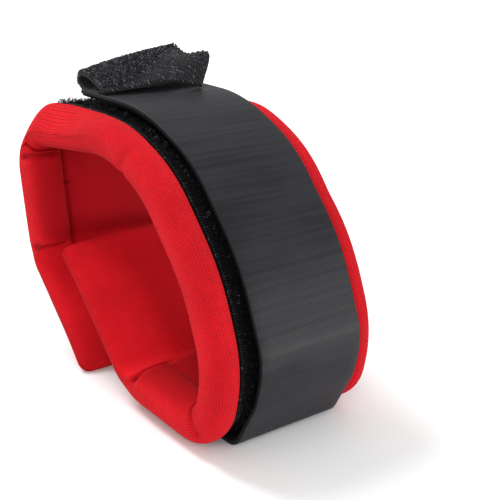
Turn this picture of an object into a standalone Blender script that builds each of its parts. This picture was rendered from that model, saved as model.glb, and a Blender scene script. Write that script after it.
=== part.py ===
"""Padded wrist band for pins: a rolled foam pad in a knit sleeve, a sewn loop tape and a peel-off strap.

The loop's cross-section lies in the XZ plane and is extruded along Y. Every layer is an offset of one
line, the outside of the rolled pad, which runs clockwise: outer tip, crease, top left corner, top, wall,
bottom and inner flap. Lengths are in metres and +Z is up. The part stands on z = 0.
"""

import math
from dataclasses import dataclass, replace

import bmesh
import bpy
from mathutils import Vector

MM = 0.001

# Driving dimensions of the rolled pad.
LOOP_LEFT = -44.0 * MM  # corner of the top left turn
LOOP_RIGHT = 37.6 * MM  # corner of the bulge of the wall
LOOP_TOP = 61.8 * MM  # crest of the top
PAD_WIDTH = 47.0 * MM
PAD_THICKNESS = 8.0 * MM
TIP_LENGTH = 33.0 * MM
FLAP_LENGTH = 37.8 * MM
FLAP_ANGLE = 140.0
PAD_END_CORNER = 8.0 * MM  # rounding of an end seen from above
PAD_END_ROUND = 3.0 * MM  # rounding of an end seen from the side

# Corners of the pad's outer line: IN from the nearer side of the loop, DOWN from its top, UP from the floor.
TIP_ANGLE = -39.7
CREASE_IN = 10.1 * MM
CREASE_UP = 20.1 * MM
CREASE_ROUND = 12.0 * MM
TOP_LEFT_DOWN = 9.5 * MM
TOP_LEFT_ROUND = 10.0 * MM
CREST_IN = 46.5 * MM
CREST_ROUND = 34.0 * MM
SHOULDER_IN = 28.6 * MM
SHOULDER_DOWN = 5.6 * MM
SHOULDER_ROUND = 34.0 * MM
UPPER_WALL_IN = 10.5 * MM
UPPER_WALL_DOWN = 21.7 * MM
UPPER_WALL_ROUND = 50.0 * MM
LOWER_WALL_UP = 22.0 * MM
LOWER_WALL_ROUND = 28.0 * MM
BOTTOM_RIGHT_IN = 0.8 * MM
BOTTOM_RIGHT_ROUND = 11.0 * MM
BOTTOM_LEFT_IN = 51.4 * MM  # from LOOP_LEFT
BOTTOM_LEFT_ROUND = 12.0 * MM

# Layers, from the pad outwards.
SLEEVE = 0.8 * MM
CLEARANCE = 0.3 * MM
TAPE_MARGIN = 7.5 * MM  # red sleeve left bare on each side of the tape
TAPE = 0.9 * MM
TAPE_SINK = 2.0 * MM  # depth of the trough that the tape presses into the pad
TAPE_END = 7.0 * MM  # bare pad past the tape's ends
NOTCH_SLOPE = 0.6 * MM
THREAD = 0.3 * MM
THREAD_WIDTH = 0.7 * MM
STITCH_INSET = 2.5 * MM  # stitching to the edge of the tape
HOOK = 0.4 * MM
STRAP = 1.1 * MM
STRAP_WIDTH = 30.0 * MM
STRAP_OFFSET = 1.8 * MM  # strap's middle, towards the far side
STRAP_INSIDE = -TAPE_SINK + TAPE + THREAD + HOOK + 4 * CLEARANCE
STRAP_OUTSIDE = STRAP_INSIDE + STRAP

# The strap's run, its crease on the floor and its ends.
STRAP_TUCK = 3.6 * MM  # crease, in from the wall
STRAP_TURN = 14.6 * MM - STRAP_TUCK  # height at which it leaves the wall, lower for a crease further in
STRAP_ROOT_LENGTH = 22.0 * MM
STRAP_TOP_LENGTH = 15.0 * MM  # from the crest to the strap's end
HOOK_LENGTH = 26.0 * MM

# Pull tab, folded back over the strap's end.
WEBBING = 1.1 * MM
TAB_BASE_LENGTH = 5.0 * MM
TAB_WIDTH = 29.0 * MM
TAB_SKEW = 3.0 * MM  # how far the fold drifts to the wall at its far end
TAB_HOOK_BARE = 2.0 * MM  # webbing left bare at the free edge of the tab
BAR_TACK_WIDTH = 1.6 * MM
BAR_TACK_INSET = 1.0 * MM  # from the edges of the tab's base

# Fineness of the round stretches.
ARC_STEP = 9.5
MARGIN_STEPS = 8
END_STEPS = 6
FOLD_STEPS = 9
TAB_STEPS = 8

# Base colour and roughness of each finish.
RED_KNIT = (0.62, 0.012, 0.025), 0.8
GREY_FOAM = (0.10, 0.10, 0.11), 0.95
BLACK_PILE = (0.012, 0.012, 0.014), 0.9
BLACK_THREAD = (0.012, 0.012, 0.014), 0.6
BLACK_WEBBING = (0.012, 0.012, 0.014), 0.8
CHARCOAL_RUBBER = (0.045, 0.044, 0.048), 0.45
CHARCOAL_THREAD = (0.045, 0.044, 0.048), 0.6
SHARP_EDGE = 35.0  # degrees between faces past which an edge is shaded sharp


@dataclass(frozen=True)
class Corner:
    """A corner of the loop's outer line, and the radius its turn is rounded to."""

    x: float
    z: float
    radius: float = 0.0


@dataclass(frozen=True)
class Frame:
    """A place on a line: a point, the direction of travel in degrees, and how far a mitre is stretched."""

    x: float
    z: float
    angle: float
    stretch: float = 1.0

    def normal(self):
        turn = math.radians(self.angle)
        return -math.sin(turn), math.cos(turn)

    def at(self, offset):
        nx, nz = self.normal()
        return self.x + nx * offset * self.stretch, self.z + nz * offset * self.stretch

    def along(self, distance, direction=None):
        turn = math.radians(self.angle if direction is None else direction)
        return replace(self, x=self.x + math.cos(turn) * distance, z=self.z + math.sin(turn) * distance)

    def point(self, y, offset):
        x, z = self.at(offset)
        return Vector((x, y, z))


def heading(a, b):
    return math.degrees(math.atan2(b.z - a.z, b.x - a.x))


def right_turn(before, after):
    """How far a clockwise line turns to the right, in degrees."""
    return (before - after) % 360.0


def polar(x, z, angle, distance):
    turn = math.radians(angle)
    return x + math.cos(turn) * distance, z + math.sin(turn) * distance


def loop_corners():
    """The outer line of the pad. Its left side is placed from LOOP_LEFT, its wall from LOOP_RIGHT."""
    crease = (LOOP_LEFT + CREASE_IN, CREASE_UP)
    tip = polar(*crease, TIP_ANGLE, TIP_LENGTH)
    bottom_left = (LOOP_LEFT + BOTTOM_LEFT_IN, STRAP_OUTSIDE)
    flap_end = polar(*bottom_left, FLAP_ANGLE, FLAP_LENGTH)
    return {
        "tip": Corner(*tip),
        "crease": Corner(*crease, CREASE_ROUND),
        "top_left": Corner(LOOP_LEFT, LOOP_TOP - TOP_LEFT_DOWN, TOP_LEFT_ROUND),
        "crest": Corner(LOOP_RIGHT - CREST_IN, LOOP_TOP, CREST_ROUND),
        "shoulder": Corner(LOOP_RIGHT - SHOULDER_IN, LOOP_TOP - SHOULDER_DOWN, SHOULDER_ROUND),
        "upper_wall": Corner(LOOP_RIGHT - UPPER_WALL_IN, LOOP_TOP - UPPER_WALL_DOWN, UPPER_WALL_ROUND),
        "lower_wall": Corner(LOOP_RIGHT, LOWER_WALL_UP, LOWER_WALL_ROUND),
        "bottom_right": Corner(LOOP_RIGHT - BOTTOM_RIGHT_IN, STRAP_OUTSIDE, BOTTOM_RIGHT_ROUND),
        "bottom_left": Corner(*bottom_left, BOTTOM_LEFT_ROUND),
        "flap_end": Corner(*flap_end),
    }


def rounded_corner(before, corner, after):
    """Frames round one corner, with the middle one on its bisector."""
    enter, leave = heading(before, corner), heading(corner, after)
    turn = right_turn(enter, leave)
    half = math.tan(math.radians(turn) / 2)
    room = 0.49 * min(math.dist((before.x, before.z), (corner.x, corner.z)),
                      math.dist((after.x, after.z), (corner.x, corner.z)))
    radius = min(corner.radius, room / half)
    start = Frame(corner.x, corner.z, enter).along(-radius * half)
    cx, cz = start.at(-radius)
    steps = max(2, 2 * math.ceil(turn / ARC_STEP / 2))
    frames = []
    for i in range(steps + 1):
        angle = enter - turn * i / steps
        x, z = Frame(cx, cz, angle).at(radius)
        frames.append(Frame(x, z, angle))
    return frames


def corner_arcs(corners):
    names = list(corners)
    arcs = {}
    for before, name, after in zip(names, names[1:], names[2:]):
        arcs[name] = rounded_corner(corners[before], corners[name], corners[after])
    return arcs


def first_half(frames):
    return frames[: len(frames) // 2 + 1]


def second_half(frames):
    return frames[len(frames) // 2 :]


def parted(frames, start=False, end=False):
    """The frames with half a clearance taken off at an end that meets a neighbour across a fold."""
    frames = list(frames)
    if start:
        frames[0] = frames[0].along(CLEARANCE / 2)
    if end:
        frames[-1] = frames[-1].along(-CLEARANCE / 2)
    return frames


# Sections of the pad, as (y, offset from the outer line) points.


def arc_inset(radius, depth):
    """How far a rounded end has drawn in at a depth from its tip."""
    if depth >= radius:
        return 0.0
    return radius - math.sqrt(radius**2 - (radius - depth) ** 2)


def pad_section(wall, depth=None, notched=True):
    """The outline of the pad, shrunk by a wall, at a depth from a closed end."""
    margin = PAD_THICKNESS / 2 - wall
    half = PAD_WIDTH / 2 - wall
    if depth is not None:
        margin -= arc_inset(PAD_END_ROUND - wall, depth)
        half -= arc_inset(PAD_END_CORNER - wall, depth)
    middle = -PAD_THICKNESS / 2
    brim = min(PAD_WIDTH / 2 - TAPE_MARGIN + CLEARANCE + NOTCH_SLOPE + wall, half - margin)
    edge = brim - NOTCH_SLOPE
    floor = middle + margin - (TAPE_SINK if notched else 0.0)
    points = []
    for side in (-1, 1):
        centre = side * (half - margin)
        for i in range(MARGIN_STEPS + 1):
            turn = math.pi * i / MARGIN_STEPS
            up = math.cos(turn) if side < 0 else -math.cos(turn)
            points.append((centre + side * margin * math.sin(turn), middle + margin * up))
    points += [(brim, middle + margin), (edge, floor), (-edge, floor), (-brim, middle + margin)]
    return points


def ring(frame, section):
    return [frame.point(y, offset) for y, offset in section]


def end_frames(frames, wall, at_start):
    """Frames and depths of a closed end, from its tip to where the tape's trough has begun."""
    base = frames[0] if at_start else frames[-1]
    inwards = 1 if at_start else -1
    radius = PAD_END_CORNER - wall
    ramped = TAPE_END - CLEARANCE - 2 * wall
    ramp = ramped - NOTCH_SLOPE
    round_depths = [radius * (1 - math.cos(math.pi / 2 * i / END_STEPS)) for i in range(END_STEPS + 1)]
    depths = [d for d in round_depths if d < ramp - CLEARANCE or d > ramped + CLEARANCE]
    depths = sorted([*depths, ramp, ramped])
    return [(base.along(inwards * (wall + depth)), depth, depth >= ramped) for depth in depths]


def pad_rings(frames, wall, closed):
    """Rings of one run of the pad. closed names the end that is sewn shut: start, end or neither."""
    rings = []
    inner = frames
    if closed == "start":
        rings += [ring(f, pad_section(wall, depth, notched)) for f, depth, notched in
                  end_frames(frames, wall, True)]
        inner = frames[1:]
    if closed == "end":
        inner = frames[:-1]
    rings += [ring(f, pad_section(wall)) for f in inner]
    if closed == "end":
        rings += [ring(f, pad_section(wall, depth, notched)) for f, depth, notched in
                  reversed(end_frames(frames, wall, False))]
    return rings


# Mesh helpers.


def material(name, colour, roughness):
    made = bpy.data.materials.new(name)
    made.use_nodes = True
    shader = made.node_tree.nodes["Principled BSDF"]
    shader.inputs["Base Color"].default_value = (*colour, 1.0)
    shader.inputs["Roughness"].default_value = roughness
    shader.inputs["Metallic"].default_value = 0.0
    made.diffuse_color = (*colour, 1.0)
    return made


def add_rings(mesh, rings):
    return [[mesh.verts.new(point) for point in points] for points in rings]


def skin(mesh, loops):
    for a, b in zip(loops, loops[1:]):
        count = len(a)
        for i in range(count):
            j = (i + 1) % count
            mesh.faces.new((a[i], a[j], b[j], b[i]))


def bridge(mesh, outer, inner):
    count = len(outer)
    for i in range(count):
        j = (i + 1) % count
        mesh.faces.new((outer[i], outer[j], inner[j], inner[i]))


def finish(name, mesh, look, parent, pivot):
    """Makes the object, with its origin at its joint's pivot, and hangs it from its body's empty."""
    bmesh.ops.recalc_face_normals(mesh, faces=mesh.faces)
    for vertex in mesh.verts:
        vertex.co -= pivot
    data = bpy.data.meshes.new(name)
    mesh.to_mesh(data)
    mesh.free()
    data.materials.append(material(name, *look))
    data.shade_smooth()
    data.set_sharp_from_angle(angle=math.radians(SHARP_EDGE))
    made = bpy.data.objects.new(name, data)
    bpy.context.scene.collection.objects.link(made)
    made.parent = parent
    return made


def solid(name, rings, look, parent, pivot):
    """A closed body lofted through rings."""
    mesh = bmesh.new()
    loops = add_rings(mesh, rings)
    skin(mesh, loops)
    mesh.faces.new(loops[0])
    mesh.faces.new(reversed(loops[-1]))
    return finish(name, mesh, look, parent, pivot)


def sleeve(name, outside, inside, closed, look, parent, pivot):
    """A tube with a wall, sewn shut at the closed end."""
    mesh = bmesh.new()
    outer, inner = add_rings(mesh, outside), add_rings(mesh, inside)
    skin(mesh, outer)
    skin(mesh, inner)
    for end, index in (("start", 0), ("end", -1)):
        if closed == end:
            mesh.faces.new(outer[index])
            mesh.faces.new(inner[index])
        else:
            bridge(mesh, outer[index], inner[index])
    return finish(name, mesh, look, parent, pivot)


def band_rings(frames, middle, width, low, high):
    """Rings of a flat layer of a width, between two offsets."""
    near, far = middle - width / 2, middle + width / 2
    return [ring(f, ((near, low), (far, low), (far, high), (near, high))) for f in frames]


# Bodies.


def body(name, pivot, parent=None):
    """An empty on the joint's axis that carries one body's objects."""
    empty = bpy.data.objects.new(name, None)
    bpy.context.scene.collection.objects.link(empty)
    empty.location = pivot
    if parent is not None:
        empty.parent = parent[0]
        empty.location = pivot - parent[1]
    return empty, pivot


def pad_run(name, frames, closed, holder):
    """One run of the pad: its sleeve, foam, loop tape and two rows of stitching."""
    parent, pivot = holder
    outside = pad_rings(frames, 0.0, closed)
    inside = pad_rings(frames, SLEEVE, closed)
    foam = pad_rings(frames, SLEEVE + CLEARANCE, closed)
    sleeve(f"{name}_cover", outside, inside, closed, RED_KNIT, parent, pivot)
    solid(f"{name}_foam", foam, GREY_FOAM, parent, pivot)

    taped = list(frames)
    if closed == "start":
        taped[0] = taped[0].along(TAPE_END)
    if closed == "end":
        taped[-1] = taped[-1].along(-TAPE_END)
    tape_width = PAD_WIDTH - 2 * TAPE_MARGIN
    tape_low = -TAPE_SINK + CLEARANCE
    tape_high = tape_low + TAPE
    tape = band_rings(taped, 0.0, tape_width, tape_low, tape_high)
    solid(f"{name}_loop_tape", tape, BLACK_PILE, parent, pivot)
    for side, sign in (("near", -1), ("far", 1)):
        row = sign * (tape_width / 2 - STITCH_INSET)
        thread = band_rings(taped, row, THREAD_WIDTH, tape_high + CLEARANCE, tape_high + CLEARANCE + THREAD)
        solid(f"{name}_stitches_{side}", thread, BLACK_THREAD, parent, pivot)


def cut_line(frames, distance):
    """The frames of a line up to a distance along it, with one more frame at that distance."""
    kept = [frames[0]]
    left = distance
    for a, b in zip(frames, frames[1:]):
        length = math.dist((a.x, a.z), (b.x, b.z))
        if length >= left:
            share = left / length
            kept.append(Frame(a.x + (b.x - a.x) * share, a.z + (b.z - a.z) * share,
                              a.angle + (b.angle - a.angle) * share))
            return kept
        kept.append(b)
        left -= length
    return kept


def strap_fold(corners, arcs):
    """Where the strap leaves the wall, its crease on the floor, and the slope between the two."""
    wall = arcs["lower_wall"][-1]
    turn = wall.along(wall.z - STRAP_TURN - STRAP_OUTSIDE)
    crease = Corner(corners["bottom_right"].x - STRAP_TUCK, STRAP_OUTSIDE)
    slope = heading(turn, crease)
    bend = right_turn(turn.angle, slope)
    turned = Frame(turn.x, turn.z, turn.angle - bend / 2, 1 / math.cos(math.radians(bend) / 2))
    folded = right_turn(slope, 180.0)
    mitre = Frame(crease.x, crease.z, slope - folded / 2, 1 / math.cos(math.radians(folded) / 2))
    return turned, mitre, slope


@dataclass(frozen=True)
class TabEdge:
    """The pull tab at one edge of the strap: how high it folds, and how its upper layer comes down."""

    y: float
    drift: float
    height: float
    droop: float
    length: float

    def fold(self, base, start, stop):
        """Frames on the outside of the fold, from one angle to another past its lowest point."""
        radius = self.height / 2
        base = base.along(radius + self.drift)
        cx, cz = base.at(STRAP_OUTSIDE + CLEARANCE + radius)
        frames = []
        for i in range(FOLD_STEPS + 1):
            angle = base.angle + 180.0 - start - (stop - start) * i / FOLD_STEPS
            x, z = Frame(cx, cz, angle).at(radius)
            frames.append(Frame(x, z, angle))
        return frames

    def base_line(self, base):
        """The sewn base, and the fold as far as the hinge, where the sheet stands upright."""
        lower = self.fold(base, 0.0, 90.0)
        return [lower[0].along(-TAB_BASE_LENGTH), *lower]

    def flap_line(self, base):
        """The layer that lifts, from the hinge over the fold to its free edge."""
        upper = self.fold(base, 90.0, 180.0 + self.droop)
        return [*upper, upper[-1].along(self.length)]


TAB_NEAR = TabEdge(STRAP_OFFSET - TAB_WIDTH / 2, 0.0, 5.6 * MM, 30.0, 6.5 * MM)
TAB_FAR = TabEdge(STRAP_OFFSET + TAB_WIDTH / 2, TAB_SKEW, 10.5 * MM, 75.0, 3.0 * MM)


def centred(corners):
    """The corners, moved so that the part's box is centred on x = 0."""
    arcs = corner_arcs(corners)
    left = min(frame.x for frame in arcs["top_left"])
    right = max(frame.at(STRAP_OUTSIDE)[0] for frame in arcs["lower_wall"])
    shift = -(left + right) / 2
    return {name: replace(corner, x=corner.x + shift) for name, corner in corners.items()}


def build():
    corners = centred(loop_corners())
    arcs = corner_arcs(corners)

    tip_end = Frame(corners["tip"].x, corners["tip"].z, heading(corners["tip"], corners["crease"]))
    flap_end = Frame(corners["flap_end"].x, corners["flap_end"].z, FLAP_ANGLE)
    tip = parted([tip_end, *first_half(arcs["crease"])], end=True)
    outer = parted([*second_half(arcs["crease"]), *first_half(arcs["top_left"])], start=True, end=True)
    main = list(second_half(arcs["top_left"]))
    for name in ("crest", "shoulder", "upper_wall", "lower_wall", "bottom_right"):
        main += arcs[name]
    main = parted([*main, *first_half(arcs["bottom_left"])], start=True, end=True)
    flap = parted([*second_half(arcs["bottom_left"]), flap_end], start=True)

    # Joint axes: outside a corner that opens outwards, inside the one that folds inwards.
    fold = arcs["top_left"][len(arcs["top_left"]) // 2]
    crease = arcs["crease"][len(arcs["crease"]) // 2]
    inner = arcs["bottom_left"][len(arcs["bottom_left"]) // 2]
    band = body("band", Vector((0, 0, 0)))
    outer_end = body("outer_end", fold.point(0, CLEARANCE), band)
    outer_tip = body("outer_tip", crease.point(0, CLEARANCE), outer_end)
    inner_flap = body("inner_flap", inner.point(0, -PAD_THICKNESS - CLEARANCE), band)
    pad_run("band", main, "neither", band)
    pad_run("outer_end", outer, "neither", outer_end)
    pad_run("outer_tip", tip, "start", outer_tip)
    pad_run("inner_flap", flap, "end", inner_flap)

    # Strap: root under the band, wall and top.
    turned, mitre, slope = strap_fold(corners, arcs)
    root = [mitre.along(CLEARANCE / 2, 180.0), Frame(mitre.x - STRAP_ROOT_LENGTH, mitre.z, 180.0)]
    shoulder = arcs["shoulder"]
    middle = len(shoulder) // 2
    wall = [*second_half(shoulder), *arcs["upper_wall"], *arcs["lower_wall"], turned,
            mitre.along(-CLEARANCE / 2, slope)]
    wall[0] = wall[0].along(CLEARANCE / 2)
    crest = arcs["crest"]
    strap_tip = crest[0].along(-STRAP_TOP_LENGTH)
    top = parted([strap_tip, *crest, *first_half(shoulder)], end=True)
    strap_main = body("strap_main", mitre.point(0, STRAP_OUTSIDE), band)
    strap_end = body("strap_end", shoulder[middle].point(0, STRAP_OUTSIDE), strap_main)
    strap_layer("strap_root", root, band)
    strap_layer("strap_wall", wall, strap_main)
    strap_layer("strap_top", top, strap_end)
    hook_low = STRAP_INSIDE - CLEARANCE - HOOK
    hook = band_rings(cut_line(top, HOOK_LENGTH), STRAP_OFFSET, STRAP_WIDTH, hook_low, hook_low + HOOK)
    solid("hook_tape", hook, BLACK_PILE, *strap_end)
    pull_tab(strap_tip, strap_end)


def strap_layer(name, frames, holder):
    rings = band_rings(frames, STRAP_OFFSET, STRAP_WIDTH, STRAP_INSIDE, STRAP_OUTSIDE)
    solid(name, rings, CHARCOAL_RUBBER, *holder)


def sheet_rings(near, far, low, high, inset=0.0):
    """Rings of a layer whose two edges follow lines of their own, between two offsets."""
    rings = []
    for a, b in zip(near, far):
        faces = []
        for offset in (low, high):
            start, stop = a.point(TAB_NEAR.y + inset, offset), b.point(TAB_FAR.y - inset, offset)
            faces.append([start.lerp(stop, i / TAB_STEPS) for i in range(TAB_STEPS + 1)])
        rings.append([*faces[0], *reversed(faces[1])])
    return rings


def pull_tab(strap_tip, strap_end):
    """Webbing sewn on the strap's end and folded back, in a base and a layer that lifts."""
    bases = [parted(edge.base_line(strap_tip), end=True) for edge in (TAB_NEAR, TAB_FAR)]
    flaps = [parted(edge.flap_line(strap_tip), start=True) for edge in (TAB_NEAR, TAB_FAR)]
    hinge = [line[0].point(edge.y, CLEARANCE / 2) for line, edge in zip(flaps, (TAB_NEAR, TAB_FAR))]
    tab = body("pull_tab", (hinge[0] + hinge[1]) / 2, strap_end)
    solid("tab_base", sheet_rings(*bases, -WEBBING, 0.0), BLACK_WEBBING, *strap_end)
    solid("tab_webbing", sheet_rings(*flaps, -WEBBING, 0.0), BLACK_WEBBING, *tab)
    hooked = [[*line[:-1], line[-1].along(-TAB_HOOK_BARE)] for line in flaps]
    hooks = sheet_rings(*hooked, CLEARANCE, CLEARANCE + HOOK)
    solid("tab_hook_face", hooks, BLACK_PILE, *tab)

    # The bar tack lies across the base, inside the fold.
    lies = -WEBBING - CLEARANCE - THREAD
    starts = [line[0].along(BAR_TACK_INSET) for line in bases]
    rows = [[start, start.along(BAR_TACK_WIDTH)] for start in starts]
    tack = sheet_rings(*rows, lies, lies + THREAD, BAR_TACK_INSET)
    solid("tab_bar_tack", tack, CHARCOAL_THREAD, *strap_end)


for existing in list(bpy.data.objects):
    bpy.data.objects.remove(existing, do_unlink=True)
build()
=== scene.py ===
"""Looks of a padded wrist band for pins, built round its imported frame.

A knit sleeve filled with foam is rolled into a loop. A loop tape is sewn along its outer face, and a ribbed
strap with a folded pull tab lies over the tape. Lengths are in metres in the frame's own axes: the loop's
cross-section lies in the XZ plane, and the band's width runs along Y.
"""

import logging
import math
from dataclasses import dataclass
from enum import Enum
from typing import Any, Callable, Sequence

import bmesh
import bpy
import numpy as np
from mathutils import Matrix, Vector


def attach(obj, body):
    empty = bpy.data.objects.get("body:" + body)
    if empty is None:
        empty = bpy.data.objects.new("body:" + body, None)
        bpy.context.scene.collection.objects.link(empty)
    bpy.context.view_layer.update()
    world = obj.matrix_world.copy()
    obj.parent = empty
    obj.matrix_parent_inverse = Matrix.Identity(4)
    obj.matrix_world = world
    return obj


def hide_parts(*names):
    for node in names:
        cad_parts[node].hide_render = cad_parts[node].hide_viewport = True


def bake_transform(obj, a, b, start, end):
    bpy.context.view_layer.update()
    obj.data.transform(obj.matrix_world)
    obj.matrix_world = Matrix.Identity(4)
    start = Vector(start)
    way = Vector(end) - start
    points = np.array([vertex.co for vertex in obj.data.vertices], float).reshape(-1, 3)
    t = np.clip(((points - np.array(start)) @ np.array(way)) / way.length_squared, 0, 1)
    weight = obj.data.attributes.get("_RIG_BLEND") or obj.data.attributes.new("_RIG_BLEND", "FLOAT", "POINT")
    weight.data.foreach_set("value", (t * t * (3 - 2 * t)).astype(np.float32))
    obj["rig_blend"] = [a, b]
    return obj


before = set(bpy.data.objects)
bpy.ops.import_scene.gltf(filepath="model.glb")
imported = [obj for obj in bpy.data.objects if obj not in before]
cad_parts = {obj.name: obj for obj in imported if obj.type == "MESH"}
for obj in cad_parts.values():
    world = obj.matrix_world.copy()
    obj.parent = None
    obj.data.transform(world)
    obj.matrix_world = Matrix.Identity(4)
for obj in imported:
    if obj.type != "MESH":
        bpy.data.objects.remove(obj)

MM = 0.001
LOG = logging.getLogger("wrist_band")


# Lines and sweeps.


@dataclass(frozen=True)
class Corner:
    """A corner of a line in the XZ plane, and the radius its turn is rounded to."""

    x: float
    z: float
    radius: float = 0.0


class Line:
    """A smooth line in the XZ plane, read by arc length. Its outside is on the left of its travel."""

    def __init__(self, points: np.ndarray) -> None:
        """Args: points: rows of x and z, close together."""
        self.points = points
        steps = np.linalg.norm(np.diff(points, axis=0), axis=1)
        self.arc = np.concatenate(([0.0], np.cumsum(steps)))
        tangents = np.gradient(points, self.arc, axis=0)
        self.tangents = tangents / np.linalg.norm(tangents, axis=1)[:, None]

    @property
    def length(self) -> float:
        """The line's whole length."""
        return float(self.arc[-1])

    def tangent(self, s: np.ndarray) -> np.ndarray:
        """Unit directions of travel.

        Args:
            s: arc lengths.

        Returns:
            Rows of x and z.
        """
        found = np.stack([np.interp(s, self.arc, self.tangents[:, i]) for i in (0, 1)], axis=-1)
        return found / np.linalg.norm(found, axis=-1, keepdims=True)

    def place(self, s: Any, y: Any, offset: Any) -> np.ndarray:
        """Points beside the line.

        Args:
            s: arc lengths.
            y: places across the band.
            offset: distances outwards from the line.

        Returns:
            An array of x, y and z in its last axis.
        """
        s, y, offset = np.broadcast_arrays(*(np.asarray(v, float) for v in (s, y, offset)))
        t = self.tangent(s)
        x = np.interp(s, self.arc, self.points[:, 0]) - t[..., 1] * offset
        z = np.interp(s, self.arc, self.points[:, 1]) + t[..., 0] * offset
        return np.stack([x, y, z], axis=-1)

    def nearest(self, x: float, z: float) -> float:
        """The arc length of the line's point nearest to x and z."""
        away = np.linalg.norm(self.points - np.array([x, z]), axis=1)
        return float(self.arc[int(away.argmin())])

    def opened(self, slack: float, tight: float) -> "Line":
        """The line with its tight turns opened, at the same length.

        Args:
            slack: the share of each tight turn that is taken out.
            tight: the radius under which a turn is tight.

        Returns:
            The opened line.
        """
        heading = np.unwrap(np.arctan2(self.tangents[:, 1], self.tangents[:, 0]))
        turn = np.gradient(heading, self.arc)
        turn = np.where(np.abs(turn) > 1 / tight, turn * (1 - slack), turn)
        steps = np.diff(self.arc)
        heading = heading[0] + np.concatenate(([0.0], np.cumsum((turn[1:] + turn[:-1]) / 2 * steps)))
        middle = (heading[1:] + heading[:-1]) / 2
        moves = np.stack([np.cos(middle) * steps, np.sin(middle) * steps], axis=-1)
        return Line(np.vstack([self.points[:1], self.points[0] + np.cumsum(moves, axis=0)]))


def rounded(corners: Sequence[Corner], spacing: float, soften: float) -> np.ndarray:
    """Points along a line with rounded corners, softened where its arcs begin and end.

    Args:
        corners: the corners, with a radius where the line turns.
        spacing: the distance between points.
        soften: the reach of the softening.

    Returns:
        Rows of x and z.
    """
    rough = [np.array([corners[0].x, corners[0].z])]
    for before, corner, after in zip(corners, corners[1:], corners[2:]):
        here = np.array([corner.x, corner.z])
        enter = here - np.array([before.x, before.z])
        leave = np.array([after.x, after.z]) - here
        lengths = np.linalg.norm(enter), np.linalg.norm(leave)
        enter, leave = enter / lengths[0], leave / lengths[1]
        turn = math.acos(float(np.clip(enter @ leave, -1, 1)))
        cut = min(corner.radius * math.tan(turn / 2), 0.49 * min(lengths))
        radius = cut / math.tan(turn / 2)
        side = math.copysign(1.0, enter[0] * leave[1] - enter[1] * leave[0])
        start = here - enter * cut
        centre = start + np.array([-enter[1], enter[0]]) * side * radius
        arm = start - centre
        for angle in np.linspace(0, side * turn, 24):
            c, s = math.cos(angle), math.sin(angle)
            rough.append(centre + np.array([arm[0] * c - arm[1] * s, arm[0] * s + arm[1] * c]))
    rough.append(np.array([corners[-1].x, corners[-1].z]))
    rough = np.array(rough)
    arc = np.concatenate(([0.0], np.cumsum(np.linalg.norm(np.diff(rough, axis=0), axis=1))))
    even = np.arange(0, arc[-1] + spacing / 2, spacing)
    points = np.stack([np.interp(even, arc, rough[:, i]) for i in (0, 1)], axis=-1)
    reach = max(1, round(soften / spacing))
    kernel = np.hanning(2 * reach + 3)[1:-1]
    kernel /= kernel.sum()
    first = 2 * points[0] - points[reach:0:-1]
    last = 2 * points[-1] - points[-2:-reach - 2:-1]
    padded = np.vstack([first, points, last])
    return np.stack([np.convolve(padded[:, i], kernel, "valid") for i in (0, 1)], axis=-1)


def smooth_step(low: float, high: float, value: np.ndarray) -> np.ndarray:
    """A smooth ramp from 0 at low to 1 at high."""
    t = np.clip((value - low) / (high - low), 0, 1)
    return t * t * (3 - 2 * t)


# Mesh helpers.


def new_object(name: str, data: bpy.types.Mesh) -> bpy.types.Object:
    """An object of that mesh, linked to the scene."""
    made = bpy.data.objects.new(name, data)
    bpy.context.scene.collection.objects.link(made)
    return made


def discard(thing: bpy.types.Object) -> None:
    """Removes a helper object and its mesh."""
    data = thing.data
    bpy.data.objects.remove(thing)
    if data is not None and data.users == 0:
        bpy.data.meshes.remove(data)


def mesh_of(name: str, points: np.ndarray, faces: Sequence[Sequence[int]]) -> bpy.types.Mesh:
    """A smooth-shaded mesh from points and faces.

    Args:
        name: the mesh's name.
        points: rows of x, y and z.
        faces: vertex numbers of each face.

    Returns:
        The mesh.
    """
    data = bpy.data.meshes.new(name)
    data.from_pydata(points.reshape(-1, 3).tolist(), [], [list(f) for f in faces])
    data.shade_smooth()
    return data


def vertex_places(data: bpy.types.Mesh) -> np.ndarray:
    """The x, y and z of a mesh's vertices, one after another."""
    places = np.zeros(len(data.vertices) * 3, np.float32)
    data.vertices.foreach_get("co", places)
    return places


def ring_faces(rings: int, count: int) -> list[tuple[int, int, int, int]]:
    """The faces of a tube of closed rings, with their outsides out for a ring that turns round its travel."""
    faces = []
    for i in range(rings - 1):
        for k in range(count):
            a, b = i * count + k, i * count + (k + 1) % count
            faces.append((a, b, b + count, a + count))
    return faces


def zip_faces(first: int, count: int) -> list[tuple[int, ...]]:
    """Faces that close a ring like a zip, from its start to half way round.

    Args:
        first: the number of the ring's first vertex.
        count: the ring's vertices, an even number.

    Returns:
        The faces.
    """
    half = count // 2
    faces: list[tuple[int, ...]] = [(first, first + 1, first + count - 1)]
    for k in range(1, half - 1):
        faces.append((first + k, first + k + 1, first + count - k - 1, first + count - k))
    faces.append((first + half - 1, first + half, first + half + 1))
    return faces


def outwards(data: bpy.types.Mesh) -> None:
    """Points every face of a closed mesh outwards."""
    mesh = bmesh.new()
    mesh.from_mesh(data)
    bmesh.ops.recalc_face_normals(mesh, faces=mesh.faces)
    mesh.to_mesh(data)
    mesh.free()


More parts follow.
